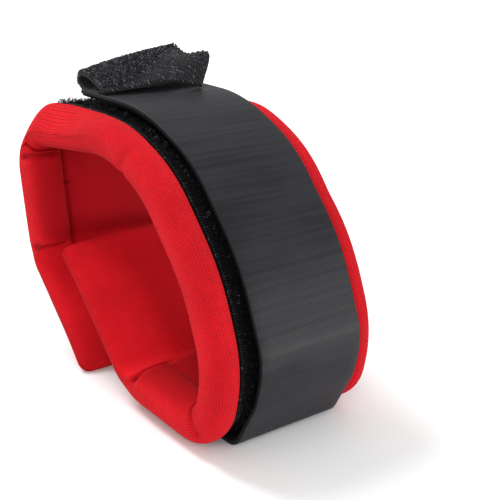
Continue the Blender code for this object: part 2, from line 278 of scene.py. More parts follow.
def capped(data: bpy.types.Mesh) -> None:
    """Closes a mesh's open ends with flat faces, and points its faces outwards."""
    mesh = bmesh.new()
    mesh.from_mesh(data)
    edges = [e for e in mesh.edges if e.is_boundary]
    if edges:
        made = bmesh.ops.holes_fill(mesh, edges=edges, sides=0)
        for face in made["faces"]:
            face.smooth = False
        for edge in edges:
            edge.smooth = False
    bmesh.ops.recalc_face_normals(mesh, faces=mesh.faces)
    mesh.to_mesh(data)
    mesh.free()


def evaluated(thing: bpy.types.Object) -> bpy.types.Mesh:
    """A plain mesh of the object with its modifiers."""
    graph = bpy.context.evaluated_depsgraph_get()
    return bpy.data.meshes.new_from_object(thing.evaluated_get(graph), depsgraph=graph)


def settle(thing: bpy.types.Object) -> bpy.types.Object:
    """Turns the object's modifiers into its mesh."""
    data = evaluated(thing)
    old = thing.data
    thing.modifiers.clear()
    thing.data = data
    bpy.data.meshes.remove(old)
    return thing


def subdivided(thing: bpy.types.Object, levels: int) -> bpy.types.Object:
    """The object's mesh, subdivided smoothly that many times."""
    modifier = thing.modifiers.new("subdivision", "SUBSURF")
    modifier.levels = modifier.render_levels = levels
    return settle(thing)


def tube(name: str, points: np.ndarray, radii: np.ndarray, sides: int) -> bpy.types.Object:
    """A closed tube through points, with a radius at each.

    Args:
        name: the object's name.
        points: rows of x, y and z.
        radii: the radius at each point.
        sides: how many sides it has.

    Returns:
        The tube.
    """
    along = np.gradient(points, axis=0)
    along /= np.linalg.norm(along, axis=1)[:, None]
    side = np.cross(along, np.array([0.0, 1.0, 0.0]))
    flat = np.linalg.norm(side, axis=1) < 1e-6
    side[flat] = np.array([1.0, 0.0, 0.0])
    side /= np.linalg.norm(side, axis=1)[:, None]
    up = np.cross(side, along)
    turns = 2 * math.pi * np.arange(sides) / sides
    rings = points[:, None] + radii[:, None, None] * (
        side[:, None] * np.cos(turns)[None, :, None] + up[:, None] * np.sin(turns)[None, :, None]
    )
    faces: list[Sequence[int]] = list(ring_faces(len(points), sides))
    faces += [tuple(range(sides)), tuple(range((len(points) - 1) * sides, len(points) * sides))]
    data = mesh_of(name, rings, faces)
    outwards(data)
    return new_object(name, data)


# Shader node groups and finishes.

Socket = Any


class Nodes:
    """Short hand for making a node tree: a number or a socket can feed any input."""

    def __init__(self, tree: bpy.types.NodeTree) -> None:
        """Args: tree: the tree to build in."""
        self.tree = tree

    def add(self, kind: str, **settings: Any) -> bpy.types.Node:
        """A new node with those settings."""
        node = self.tree.nodes.new(kind)
        for name, value in settings.items():
            setattr(node, name, value)
        return node

    def feed(self, socket: Socket, value: Any) -> None:
        """Links a socket to an input, or sets its value."""
        if isinstance(value, bpy.types.NodeSocket):
            self.tree.links.new(value, socket)
        elif value is not None:
            socket.default_value = value

    def math(self, operation: str, a: Any, b: Any = None, c: Any = None) -> Socket:
        """The result of a Math node."""
        node = self.add("ShaderNodeMath", operation=operation)
        for socket, value in zip(node.inputs, (a, b, c)):
            self.feed(socket, value)
        return node.outputs[0]

    def ramp(self, value: Any, low: float, high: float, a: float = 0.0, b: float = 1.0) -> Socket:
        """A smooth ramp of a value from a at low to b at high."""
        node = self.add("ShaderNodeMapRange", interpolation_type="SMOOTHSTEP")
        given = {"Value": value, "From Min": low, "From Max": high, "To Min": a, "To Max": b}
        for name, number in given.items():
            self.feed(node.inputs[name], number)
        return node.outputs["Result"]

    def mix(self, factor: Any, a: Any, b: Any) -> Socket:
        """A colour between a and b."""
        node = self.add("ShaderNodeMix", data_type="RGBA")
        self.feed(node.inputs[0], factor)
        self.feed(node.inputs[6], a)
        self.feed(node.inputs[7], b)
        return node.outputs[2]

    def noise(self, vector: Any, scale: float, detail: float = 2.0) -> Socket:
        """A noise from 0 to 1."""
        node = self.add("ShaderNodeTexNoise")
        self.feed(node.inputs["Vector"], vector)
        node.inputs["Scale"].default_value = scale
        node.inputs["Detail"].default_value = detail
        return node.outputs["Fac"]

    def apart(self, vector: Any) -> tuple[Socket, Socket, Socket]:
        """The x, y and z of a vector."""
        node = self.add("ShaderNodeSeparateXYZ")
        self.feed(node.inputs[0], vector)
        return node.outputs[0], node.outputs[1], node.outputs[2]

    def attribute(self, name: str) -> bpy.types.Node:
        """The node that reads the piece's own attribute."""
        return self.add("ShaderNodeAttribute", attribute_name=name)

    def place(self) -> Socket:
        """Object coordinates."""
        return self.add("ShaderNodeTexCoord").outputs["Object"]


def new_group(name: str, inputs: dict[str, Any],
              outputs: Sequence[str]) -> tuple[Nodes, dict[str, Socket], bpy.types.Node]:
    """A shader node group with named sockets.

    Args:
        name: the group's name.
        inputs: each input's default number, or None for a vector.
        outputs: the names of the values it puts out.

    Returns:
        The group's nodes, its inputs by name, and its output node.
    """
    tree = bpy.data.node_groups.new(name, "ShaderNodeTree")
    for key, value in inputs.items():
        kind = "NodeSocketVector" if value is None else "NodeSocketFloat"
        socket = tree.interface.new_socket(key, in_out="INPUT", socket_type=kind)
        if value is not None:
            socket.default_value = value
    for key in outputs:
        tree.interface.new_socket(key, in_out="OUTPUT", socket_type="NodeSocketFloat")
    nodes = Nodes(tree)
    source = nodes.add("NodeGroupInput")
    return nodes, {s.name: s for s in source.outputs if s.name}, nodes.add("NodeGroupOutput")


def knit_group() -> bpy.types.NodeTree:
    """Rows of V stitches on a UV map in metres: their height, and the gaps between them."""
    nodes, given, out = new_group("knit_rows", {"UV": None, "Wale": 0.7 * MM, "Course": 0.6 * MM},
                                  ("Height", "Gap"))
    u, v, _ = nodes.apart(given["UV"])
    column = nodes.math("FRACT", nodes.math("DIVIDE", v, given["Wale"]))
    lean = nodes.math("ABSOLUTE", nodes.math("SUBTRACT", column, 0.5))
    phase = nodes.math("ADD", nodes.math("DIVIDE", u, given["Course"]), lean)
    wave = nodes.math("SINE", nodes.math("MULTIPLY", phase, 2 * math.pi))
    stitch = nodes.math("MULTIPLY_ADD", wave, 0.5, 0.5)
    column_edge = nodes.math("MULTIPLY", nodes.math("MULTIPLY", lean, lean), 4.0)
    centre = nodes.math("SUBTRACT", 0.25, nodes.math("ABSOLUTE", nodes.math("SUBTRACT", lean, 0.25)))
    yarn = nodes.math("MULTIPLY", centre, 4.0)
    height = nodes.math("MULTIPLY_ADD", stitch, 0.5, nodes.math("MULTIPLY", yarn, 0.5))
    gap = nodes.math("MULTIPLY", nodes.math("SUBTRACT", 1.0, stitch), nodes.math("SUBTRACT", 1.0, yarn))
    nodes.feed(out.inputs["Height"], height)
    nodes.feed(out.inputs["Gap"], nodes.math("MAXIMUM", gap, nodes.math("MULTIPLY", column_edge, 0.85)))
    return nodes.tree


def twill_group() -> bpy.types.NodeTree:
    """Slanted ribs of thick yarn on a UV map in metres: their height and the gaps between them."""
    nodes, given, out = new_group("twill", {"UV": None, "Pitch": 0.9 * MM, "Float": 1.1 * MM},
                                  ("Height", "Gap"))
    u, v, _ = nodes.apart(given["UV"])
    across = nodes.math("DIVIDE", nodes.math("ADD", u, v), given["Pitch"])
    along = nodes.math("DIVIDE", nodes.math("SUBTRACT", u, v), given["Float"])
    cell = nodes.math("FLOOR", across)
    along = nodes.math("ADD", along, nodes.math("MULTIPLY", cell, 0.5))
    rib = nodes.math("ABSOLUTE", nodes.math("SINE", nodes.math("MULTIPLY", across, math.pi)))
    bead = nodes.math("ABSOLUTE", nodes.math("SINE", nodes.math("MULTIPLY", along, math.pi)))
    height = nodes.math("MULTIPLY", rib, nodes.math("MULTIPLY_ADD", bead, 0.35, 0.65))
    nodes.feed(out.inputs["Height"], height)
    nodes.feed(out.inputs["Gap"], nodes.math("SUBTRACT", 1.0, height))
    return nodes.tree


def fluff_group() -> bpy.types.NodeTree:
    """Fine short fibre over a surface: its height, and slow changes of shade."""
    nodes, given, out = new_group("fluff", {"Place": None}, ("Height", "Shade"))
    nodes.feed(out.inputs["Height"], nodes.noise(given["Place"], 2600.0, 4.0))
    slow = nodes.noise(given["Place"], 55.0, 3.0)
    quick = nodes.noise(given["Place"], 700.0, 2.0)
    shade = nodes.math("MULTIPLY_ADD", quick, 0.35, nodes.math("MULTIPLY", slow, 0.65))
    nodes.feed(out.inputs["Shade"], shade)
    return nodes.tree


GROUPS: dict[str, bpy.types.NodeTree] = {}
MADE: dict[str, bpy.types.Material] = {}


def placed_group(nodes: Nodes, maker: Callable[[], bpy.types.NodeTree], **values: Any) -> bpy.types.Node:
    """A group's node, with the group built once.

    Args:
        nodes: the tree to place it in.
        maker: the function that builds the group.
        **values: what feeds its inputs.

    Returns:
        The node.
    """
    if maker.__name__ not in GROUPS:
        GROUPS[maker.__name__] = maker()
    node = nodes.add("ShaderNodeGroup", node_tree=GROUPS[maker.__name__])
    for name, value in values.items():
        nodes.feed(node.inputs[name], value)
    return node


Colour = tuple[float, float, float]


def rgba(colour: Colour, shade: float = 1.0) -> tuple[float, float, float, float]:
    """The colour with its alpha, darkened or lightened by a shade."""
    return (colour[0] * shade, colour[1] * shade, colour[2] * shade, 1.0)


class Finish:
    """A material with a Principled shader. A finish says how it looks in its own dress method."""

    name = "finish"
    colour: Colour = (0.5, 0.5, 0.5)
    roughness = 0.8
    gloss = 0.2

    def made(self) -> bpy.types.Material:
        """The material, built once and used by every piece with this finish."""
        if self.name in MADE:
            return MADE[self.name]
        material = MADE[self.name] = bpy.data.materials.new(self.name)
        material.use_nodes = True
        material.diffuse_color = rgba(self.colour)
        nodes = Nodes(material.node_tree)
        shader = material.node_tree.nodes["Principled BSDF"]
        shader.inputs["Base Color"].default_value = rgba(self.colour)
        shader.inputs["Roughness"].default_value = self.roughness
        shader.inputs["Specular IOR Level"].default_value = self.gloss
        self.dress(nodes, shader)
        return material

    def dress(self, nodes: Nodes, shader: bpy.types.Node) -> None:
        """Adds the finish's own nodes."""

    @staticmethod
    def bump(nodes: Nodes, shader: bpy.types.Node, height: Socket, strength: float, distance: float) -> None:
        """Feeds a height to the shader's normal."""
        node = nodes.add("ShaderNodeBump")
        node.inputs["Strength"].default_value = strength
        node.inputs["Distance"].default_value = distance
        nodes.feed(node.inputs["Height"], height)
        nodes.feed(shader.inputs["Normal"], node.outputs["Normal"])


@dataclass(frozen=True)
class KnitFinish(Finish):
    """Red knit: rows of V stitches on the rim, brushed soft on the inner face, with painted shade on the inner
    face and in the creases.
    """

    name: str = "chevron_knit"
    colour: Colour = (0.80, 0.011, 0.020)
    roughness: float = 0.82
    # A deep red that stands in for shade: painted shade on the inner face, inside the loop and in the creases.
    painted_shade: Colour = (0.38, 0.003, 0.007)
    nap_painted_shade: float = 0.5
    gloss: float = 0.08
    wale: float = 0.6 * MM
    course: float = 0.5 * MM

    def dress(self, nodes: Nodes, shader: bpy.types.Node) -> None:
        """Adds the stitches, the nap, painted shade on the inner face and in the creases, and a soft sheen."""
        uv = nodes.attribute("knit_map").outputs["Vector"]
        nap = nodes.attribute("nap").outputs["Fac"]
        knit = placed_group(nodes, knit_group, UV=uv, Wale=self.wale, Course=self.course)
        fluff = placed_group(nodes, fluff_group, Place=nodes.place())
        shown = nodes.math("SUBTRACT", 1.0, nodes.math("MULTIPLY", nap, 0.88))
        gap = nodes.math("MULTIPLY", knit.outputs["Gap"], shown)
        tone = nodes.ramp(fluff.outputs["Shade"], 0.3, 0.7)
        base = nodes.mix(tone, rgba(self.colour, 0.86), rgba(self.colour, 1.12))
        # Painted shade: the brushed inner face is mixed halfway towards the deep red.
        base = nodes.mix(nodes.math("MULTIPLY", nap, self.nap_painted_shade), base, rgba(self.painted_shade))
        # Painted shade: the mask read here darkens the inner face inside the loop and in the creases.
        hollow = nodes.attribute("hollow").outputs["Fac"]
        base = nodes.mix(nodes.math("MULTIPLY", hollow, 0.8), base, rgba(self.painted_shade, 0.8))
        shader.inputs["Sheen Weight"].default_value = 0.06
        shader.inputs["Sheen Roughness"].default_value = 0.4
        shader.inputs["Sheen Tint"].default_value = (1.0, 0.2, 0.24, 1.0)
        nodes.feed(shader.inputs["Base Color"], nodes.mix(gap, base, rgba(self.colour, 0.28)))
        nodes.feed(shader.inputs["Roughness"], nodes.math("MULTIPLY_ADD", gap, 0.1, self.roughness))
        loops = nodes.math("MULTIPLY", knit.outputs["Height"], shown)
        height = nodes.math("MULTIPLY_ADD", fluff.outputs["Height"], 0.3, loops)
        self.bump(nodes, shader, height, 0.9, 0.2 * MM)


@dataclass(frozen=True)
class FoamFinish(Finish):
    """Grey cell foam."""

    name: str = "cell_foam"
    colour: Colour = (0.11, 0.11, 0.12)
    roughness: float = 0.95
    cell: float = 0.7 * MM

    def dress(self, nodes: Nodes, shader: bpy.types.Node) -> None:
        """Adds open cells."""
        cells = nodes.add("ShaderNodeTexVoronoi")
        nodes.feed(cells.inputs["Vector"], nodes.place())
        cells.inputs["Scale"].default_value = 1 / self.cell
        wall = nodes.ramp(cells.outputs["Distance"], 0.05, 0.6)
        base = nodes.mix(wall, rgba(self.colour, 0.4), rgba(self.colour, 1.3))
        nodes.feed(shader.inputs["Base Color"], base)
        self.bump(nodes, shader, wall, 0.8, 0.3 * MM)


@dataclass(frozen=True)
class YarnFinish(Finish):
    """Black yarn whose fibres differ a little in shade, with a few that catch the light."""

    name: str = "black_yarn"
    colour: Colour = (0.012, 0.012, 0.014)
    roughness: float = 0.55
    glint: Colour = (0.10, 0.10, 0.11)
    glint_share: float = 0.1
    sheen: float = 0.0
    gloss: float = 0.1

    def dress(self, nodes: Nodes, shader: bpy.types.Node) -> None:
        """Adds the shades of the fibres and their fine twist."""
        shade = nodes.attribute("shade").outputs["Fac"]
        lit = nodes.ramp(shade, 1 - self.glint_share, 1.0)
        tone = nodes.mix(shade, rgba(self.colour, 0.5), rgba(self.colour, 1.6))
        nodes.feed(shader.inputs["Base Color"], nodes.mix(lit, tone, rgba(self.glint)))
        nodes.feed(shader.inputs["Roughness"], nodes.math("MULTIPLY_ADD", lit, -0.15, self.roughness))
        shader.inputs["Sheen Weight"].default_value = self.sheen
        self.bump(nodes, shader, nodes.noise(nodes.place(), 3000.0, 2.0), 0.4, 0.05 * MM)


@dataclass(frozen=True)
class ClothBaseFinish(Finish):
    """Close plain weave under a pile or between hooks."""

    name: str = "tape_ground"
    colour: Colour = (0.0035, 0.0034, 0.0045)
    roughness: float = 0.9
    gloss: float = 0.08
    pitch: float = 0.5 * MM

    def dress(self, nodes: Nodes, shader: bpy.types.Node) -> None:
        """Adds the weave."""
        x, y, z = nodes.apart(nodes.place())
        run = nodes.math("ADD", x, z)
        warp = nodes.math("SINE", nodes.math("MULTIPLY", y, 2 * math.pi / self.pitch))
        weft = nodes.math("SINE", nodes.math("MULTIPLY", run, 2 * math.pi / self.pitch))
        weave = nodes.math("MULTIPLY_ADD", nodes.math("MULTIPLY", warp, weft), 0.5, 0.5)
        base = nodes.mix(weave, rgba(self.colour, 0.5), rgba(self.colour, 1.8))
        nodes.feed(shader.inputs["Base Color"], base)
        nodes.feed(shader.inputs["Roughness"], nodes.math("MULTIPLY_ADD", weave, -0.15, self.roughness))
        self.bump(nodes, shader, weave, 0.6, 0.1 * MM)


@dataclass(frozen=True)
class StrapFinish(Finish):
    """Charcoal rubbery sheet with fine ribs across it, scuffed a little, with painted shade along its cut
    edges.
    """

    name: str = "ribbed_strap"
    colour: Colour = (0.016, 0.015, 0.0185)
    roughness: float = 0.5
    gloss: float = 0.16
    rib: float = 0.55 * MM

    def dress(self, nodes: Nodes, shader: bpy.types.Node) -> None:
        """Adds the ribs, broad streaks and painted shade along the edges."""
        u, _, _ = nodes.apart(nodes.attribute("strap_map").outputs["Vector"])
        edge = nodes.attribute("edge").outputs["Fac"]
        place = nodes.place()
        wobble = nodes.math("MULTIPLY", nodes.noise(place, 90.0, 2.0), 0.35 * MM)
        rows = nodes.math("DIVIDE", nodes.math("ADD", u, wobble), self.rib)
        wave = nodes.math("SINE", nodes.math("MULTIPLY", rows, 2 * math.pi))
        rib = nodes.math("MULTIPLY_ADD", wave, 0.5, 0.5)
        streak_node = nodes.add("ShaderNodeMapping")
        nodes.feed(streak_node.inputs["Vector"], nodes.attribute("strap_map").outputs["Vector"])
        streak_node.inputs["Scale"].default_value = (700.0, 28.0, 1.0)
        streak = nodes.noise(streak_node.outputs["Vector"], 1.0, 3.0)
        cloud = nodes.noise(place, 60.0, 3.0)
        tone = nodes.math("MULTIPLY_ADD", streak, 0.6, nodes.math("MULTIPLY", cloud, 0.4))
        base = nodes.mix(nodes.ramp(tone, 0.36, 0.62), rgba(self.colour, 0.66), rgba(self.colour, 1.28))
        # Painted shade: the cut edges are darkened, where the thin side faces lie in shade.
        base = nodes.mix(nodes.math("MULTIPLY", edge, 0.85), base, rgba(self.colour, 0.35))
        nodes.feed(shader.inputs["Base Color"], base)
        rough = nodes.math("MULTIPLY_ADD", nodes.ramp(tone, 0.3, 0.7), 0.14, self.roughness - 0.07)
        nodes.feed(shader.inputs["Roughness"], rough)
        height = nodes.math("MULTIPLY_ADD", streak, 0.5, nodes.math("MULTIPLY", rib, 0.5))
        self.bump(nodes, shader, height, 0.35, 0.06 * MM)


@dataclass(frozen=True)
class WebbingFinish(Finish):
    """Black webbing with slanted ribs."""

    name: str = "black_webbing"
    colour: Colour = (0.008, 0.0078, 0.0095)
    roughness: float = 0.62
    pitch: float = 0.95 * MM

    def dress(self, nodes: Nodes, shader: bpy.types.Node) -> None:
        """Adds the ribs and the yarn's sheen."""
        uv = nodes.attribute("web_map").outputs["Vector"]
        twill = placed_group(nodes, twill_group, UV=uv, Pitch=self.pitch)
        fluff = placed_group(nodes, fluff_group, Place=nodes.place())
        lit = nodes.math("MULTIPLY", twill.outputs["Height"], fluff.outputs["Shade"])
        base = nodes.mix(lit, rgba(self.colour, 0.35), rgba(self.colour, 2.6))
        nodes.feed(shader.inputs["Base Color"], base)
        rough = nodes.math("MULTIPLY_ADD", twill.outputs["Gap"], 0.25, self.roughness)
        nodes.feed(shader.inputs["Roughness"], rough)
        shader.inputs["Sheen Weight"].default_value = 0.08
        height = nodes.math("MULTIPLY_ADD", fluff.outputs["Height"], 0.25, twill.outputs["Height"])
        self.bump(nodes, shader, height, 0.5, 0.12 * MM)


@dataclass(frozen=True)
class FloorFinish(Finish):
    """Plain pale floor."""

    name: str = "pale_floor"
    colour: Colour = (0.93, 0.93, 0.93)
    roughness: float = 0.9


RED_KNIT = KnitFinish()
FOAM = FoamFinish()
TAPE_GROUND = ClothBaseFinish()
PILE = YarnFinish(name="loop_pile", colour=(0.0032, 0.003, 0.004), roughness=0.6, glint=(0.035, 0.034, 0.038))
CURL = YarnFinish(name="pile_curl", colour=(0.0035, 0.003, 0.0045), roughness=0.5, glint=(0.10, 0.10, 0.11))
SELVEDGE = YarnFinish(name="selvedge_rib", colour=(0.010, 0.011, 0.013),
                      glint=(0.018, 0.019, 0.021), glint_share=0.5)
PICOT = YarnFinish(name="edge_loop", colour=(0.012, 0.013, 0.013),
                   glint=(0.10, 0.115, 0.11), glint_share=0.25)
THREAD = YarnFinish(name="black_thread", roughness=0.6, colour=(0.005, 0.005, 0.006),
                    glint=(0.01, 0.01, 0.011))
STRAP_RUBBER = StrapFinish()
WEBBING = WebbingFinish()
HOOKS = YarnFinish(name="moulded_hook", roughness=0.4, colour=(0.008, 0.008, 0.010),
                   glint=(0.03, 0.03, 0.034))
KNOBS = YarnFinish(name="knobbly_face", colour=(0.028, 0.0275, 0.032), roughness=0.55,
                   glint=(0.08, 0.079, 0.088), glint_share=0.5)
DOTS = YarnFinish(name="woven_dot", colour=(0.040, 0.038, 0.044), glint=(0.12, 0.115, 0.13), glint_share=0.3)
FLOOR = FloorFinish()


# Geometry Nodes that repeat a small part.


class Spread(Enum):
    """How copies are spread over a bed."""

    ALONG = "along its edges, a pitch apart"
    SCATTERED = "over its faces, at a density"
    ON_POINTS = "one on each vertex"


@dataclass(frozen=True)
class Repeat:
    """A small part, and how it is repeated over a bed."""

    spread: Spread
    finish: Finish
    pitch: float = 1.0 * MM
    density: float = 1.0e6
    least: float = 1.0
    most: float = 1.0
    tilt: float = 0.0
    turn: float = 0.0
    seed: int = 1

    def tree(self) -> bpy.types.NodeTree:
        """Builds the node tree: points, copies, a shade for each, and their material."""
        tree = bpy.data.node_groups.new(f"repeat_{self.spread.name.lower()}", "GeometryNodeTree")
        face = tree.interface
        face.new_socket("Bed", in_out="INPUT", socket_type="NodeSocketGeometry")
        names = ("Pitch", "Density", "Least size", "Most size", "Tilt", "Turn")
        numbers = [(name, "Float") for name in names]
        for name, kind in [("Part", "Object"), *numbers, ("Seed", "Int"), ("Material", "Material")]:
            face.new_socket(name, in_out="INPUT", socket_type=f"NodeSocket{kind}")
        face.new_socket("Copies", in_out="OUTPUT", socket_type="NodeSocketGeometry")
        nodes = Nodes(tree)
        given = {s.name: s for s in nodes.add("NodeGroupInput").outputs if s.name}
        points, rotation = self.points(nodes, given)
        place = nodes.add("GeometryNodeInstanceOnPoints")
        nodes.feed(place.inputs["Points"], points)
        part = nodes.add("GeometryNodeObjectInfo", transform_space="ORIGINAL")
        nodes.feed(part.inputs["Object"], given["Part"])
        nodes.feed(place.inputs["Instance"], part.outputs["Geometry"])
        nodes.feed(place.inputs["Rotation"], self.loosened(nodes, given, rotation))
        size = self.chance(nodes, given["Least size"], given["Most size"], given["Seed"], "FLOAT")
        nodes.feed(place.inputs["Scale"], size)
        store = nodes.add("GeometryNodeStoreNamedAttribute", data_type="FLOAT", domain="INSTANCE")
        nodes.feed(store.inputs["Geometry"], place.outputs["Instances"])
        store.inputs["Name"].default_value = "shade"
        later = nodes.math("ADD", given["Seed"], 7.0)
        nodes.feed(store.inputs["Value"], self.chance(nodes, 0.0, 1.0, later, "FLOAT"))
        real = nodes.add("GeometryNodeRealizeInstances")
        nodes.feed(real.inputs["Geometry"], store.outputs["Geometry"])
        paint = nodes.add("GeometryNodeSetMaterial")
        nodes.feed(paint.inputs["Geometry"], real.outputs["Geometry"])
        nodes.feed(paint.inputs["Material"], given["Material"])
        nodes.feed(nodes.add("NodeGroupOutput").inputs["Copies"], paint.outputs["Geometry"])
        return tree

    def points(self, nodes: Nodes, given: dict[str, Socket]) -> tuple[Socket, Socket]:
        """The places of the copies and the turn of each.

        Args:
            nodes: the tree.
            given: the tree's inputs by name.

        Returns:
            The points, and a rotation that stands a copy on the bed.
        """
        if self.spread is Spread.SCATTERED:
            scatter = nodes.add("GeometryNodeDistributePointsOnFaces")
            nodes.feed(scatter.inputs["Mesh"], given["Bed"])
            nodes.feed(scatter.inputs["Density"], given["Density"])
            nodes.feed(scatter.inputs["Seed"], given["Seed"])
            return scatter.outputs["Points"], scatter.outputs["Rotation"]
        ahead = nodes.add("FunctionNodeAlignRotationToVector", axis="X")
        stand = nodes.add("FunctionNodeAlignRotationToVector", axis="Z", pivot_axis="X")
        up = nodes.add("GeometryNodeInputNamedAttribute", data_type="FLOAT_VECTOR")
        up.inputs["Name"].default_value = "up"
        nodes.feed(stand.inputs["Rotation"], ahead.outputs["Rotation"])
        nodes.feed(stand.inputs["Vector"], up.outputs["Attribute"])
        if self.spread is Spread.ALONG:
            curve = nodes.add("GeometryNodeMeshToCurve")
            nodes.feed(curve.inputs["Mesh"], given["Bed"])
            even = nodes.add("GeometryNodeResampleCurve", mode="LENGTH")
            nodes.feed(even.inputs["Curve"], curve.outputs["Curve"])
            nodes.feed(even.inputs["Length"], given["Pitch"])
            nodes.feed(ahead.inputs["Vector"], nodes.add("GeometryNodeInputTangent").outputs["Tangent"])
            return even.outputs["Curve"], stand.outputs["Rotation"]
        along = nodes.add("GeometryNodeInputNamedAttribute", data_type="FLOAT_VECTOR")
        along.inputs["Name"].default_value = "along"
        nodes.feed(ahead.inputs["Vector"], along.outputs["Attribute"])
        return given["Bed"], stand.outputs["Rotation"]

    def loosened(self, nodes: Nodes, given: dict[str, Socket], rotation: Socket) -> Socket:
        """The rotation with a chance turn and tilt of each copy."""
        least, most = (nodes.add("ShaderNodeCombineXYZ") for _ in range(2))
        for axis, name in enumerate(("Tilt", "Tilt", "Turn")):
            nodes.feed(most.inputs[axis], given[name])
            nodes.feed(least.inputs[axis], nodes.math("MULTIPLY", given[name], -1.0))
        later = nodes.math("ADD", given["Seed"], 3.0)
        angles = self.chance(nodes, least.outputs[0], most.outputs[0], later, "FLOAT_VECTOR")
        turned = nodes.add("FunctionNodeEulerToRotation")
        nodes.feed(turned.inputs[0], angles)
        both = nodes.add("FunctionNodeRotateRotation", rotation_space="LOCAL")
        nodes.feed(both.inputs["Rotation"], rotation)
        nodes.feed(both.inputs["Rotate By"], turned.outputs[0])
        return both.outputs[0]

    @staticmethod
    def chance(nodes: Nodes, low: Any, high: Any, seed: Any, kind: str) -> Socket:
        """A random value between two others."""
        node = nodes.add("FunctionNodeRandomValue", data_type=kind)
        live = [s for s in node.inputs if s.enabled]
        nodes.feed(live[0], low)
        nodes.feed(live[1], high)
        nodes.feed(node.inputs["Seed"], seed)
        return next(s for s in node.outputs if s.enabled)

    def grow(self, name: str, bed: bpy.types.Object, part: bpy.types.Object) -> bpy.types.Object:
        """Repeats a part over a bed as one plain mesh. The bed is used up.

        Args:
            name: the new piece's name.
            bed: the mesh whose edges, faces or vertices carry the copies.
            part: the small part.

        Returns:
            The piece.
        """
        modifier = bed.modifiers.new("repeat", "NODES")
        modifier.node_group = self.tree()
        values = {"Part": part, "Pitch": self.pitch, "Density": self.density, "Least size": self.least,
                  "Most size": self.most, "Tilt": self.tilt, "Turn": self.turn, "Seed": self.seed,
                  "Material": self.finish.made()}
        for item in modifier.node_group.interface.items_tree:
            if item.in_out == "INPUT" and item.name in values:
                modifier[item.identifier] = values[item.name]
        data = evaluated(bed)
        data.name = name
        data.shade_smooth()
        discard(bed)
        made = new_object(name, data)
        for keep in [a.name for a in data.attributes if a.name in ("up", "along")]:
            data.attributes.remove(data.attributes[keep])
        return made


def vector_attribute(data: bpy.types.Mesh, name: str, values: np.ndarray) -> None:
    """Stores a vector at each vertex."""
    data.attributes.new(name, "FLOAT_VECTOR", "POINT").data.foreach_set("vector", values.ravel())


def number_attribute(data: bpy.types.Mesh, name: str, values: np.ndarray) -> None:
    """Stores a number at each vertex."""
    data.attributes.new(name, "FLOAT", "POINT").data.foreach_set("value", values.astype(np.float32).ravel())


def point_bed(name: str, points: np.ndarray, up: np.ndarray, along: np.ndarray) -> bpy.types.Object:
    """A bed of loose points, each with its own directions up and along."""
    data = bpy.data.meshes.new(name)
    data.from_pydata(points.tolist(), [], [])
    vector_attribute(data, "up", up)
    vector_attribute(data, "along", along)
    return new_object(name, data)


def fit(piece: bpy.types.Object, slot: str, *nodes: str) -> None:
    """Hides the imported nodes that the piece stands for."""
    if nodes:
        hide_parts(*nodes)


# The loop, and the runs it is cut into.


@dataclass(frozen=True)
class Run:
    """A stretch of the band that is one piece of each layer, and the joint it bends at."""

    name: str
    node: str
    start: float
    stop: float
    body: str
    turns_with: str = ""
    hinge: float = 0.0


@dataclass(frozen=True)
class Loop:
    """The outside of the rolled pad, from the outer tip round to the end of the inner flap."""

    left: float = -44.4 * MM
    wall: float = 38.68 * MM
    top: float = 61.8 * MM
    floor: float = 1.9 * MM
    spacing: float = 0.25 * MM
    soften: float = 3.0 * MM
    bend_reach: float = 7.0 * MM
    lift: float = 2.3 * MM

    def corners(self) -> dict[str, Corner]:
        """The corners of the line by name, in the order of travel."""
        return {
            "tip": Corner(-7.43 * MM, -0.98 * MM),
            "crease": Corner(-32.82 * MM, 20.1 * MM, 12.0 * MM),
            "top_left": Corner(self.left, self.top - 9.5 * MM, 10.0 * MM),
            "crest": Corner(-7.82 * MM, self.top, 34.0 * MM),
            "shoulder": Corner(10.08 * MM, self.top - 5.6 * MM, 34.0 * MM),
            "upper_wall": Corner(28.18 * MM, 40.1 * MM, 50.0 * MM),
            "lower_wall": Corner(self.wall, 22.0 * MM, 28.0 * MM),
            "bottom_right": Corner(37.88 * MM, self.floor, 11.0 * MM),
            "bottom_left": Corner(8.48 * MM, self.floor, 12.0 * MM),
            "flap_end": Corner(-20.47 * MM, 26.2 * MM),
        }

    def line(self) -> Line:
        """The smooth line through the corners."""
        return Line(rounded(list(self.corners().values()), self.spacing, self.soften))

    def places(self, line: Line) -> dict[str, float]:
        """The arc length of each corner by name."""
        return {name: line.nearest(c.x, c.z) for name, c in self.corners().items()}

    def lifted(self, line: Line, s: np.ndarray) -> np.ndarray:
        """How far the tape stands off the loop's line, where the strap's free end pulls it up."""
        at = self.places(line)["top_left"]
        rise = smooth_step(at - 7 * MM, at + 9 * MM, s)
        return self.lift * rise * smooth_step(at + 34 * MM, at + 12 * MM, s)

    def runs(self, line: Line) -> list[Run]:
        """The four runs, cut where both sides of a cut move together."""
        at = self.places(line)
        outer = (at["crease"] + at["top_left"]) / 2
        top = at["top_left"] + 0.45 * (at["crest"] - at["top_left"])
        bottom = (at["bottom_right"] + at["bottom_left"]) / 2
        return [
            Run("outer_tip", "outer_tip", 0.0, outer, "outer_end", "outer_tip", at["crease"]),
            Run("top_corner", "outer_end", outer, top, "band", "outer_end", at["top_left"]),
            Run("main", "band", top, bottom, "band"),
            Run("inner_flap", "inner_flap", bottom, line.length, "band", "inner_flap", at["bottom_left"]),
        ]

    def attach(self, piece: bpy.types.Object, line: Line, run: Run) -> None:
        """Hangs a run's piece on its body, or bends it between its two bodies.

        Args:
            piece: the piece.
            line: the loop's line.
            run: the run that the piece covers.
        """
        if not run.turns_with:
            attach(piece, run.body)
            return
        ahead = 1.0 if run.name == "inner_flap" else -1.0
        middle = line.place(run.hinge, 0.0, 0.0)
        tangent = line.tangent(np.array(run.hinge)) * self.bend_reach * ahead
        reach = np.array([tangent[0], 0.0, tangent[1]])
        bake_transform(piece, run.body, run.turns_with, start=tuple(middle - reach), end=tuple(middle + reach))


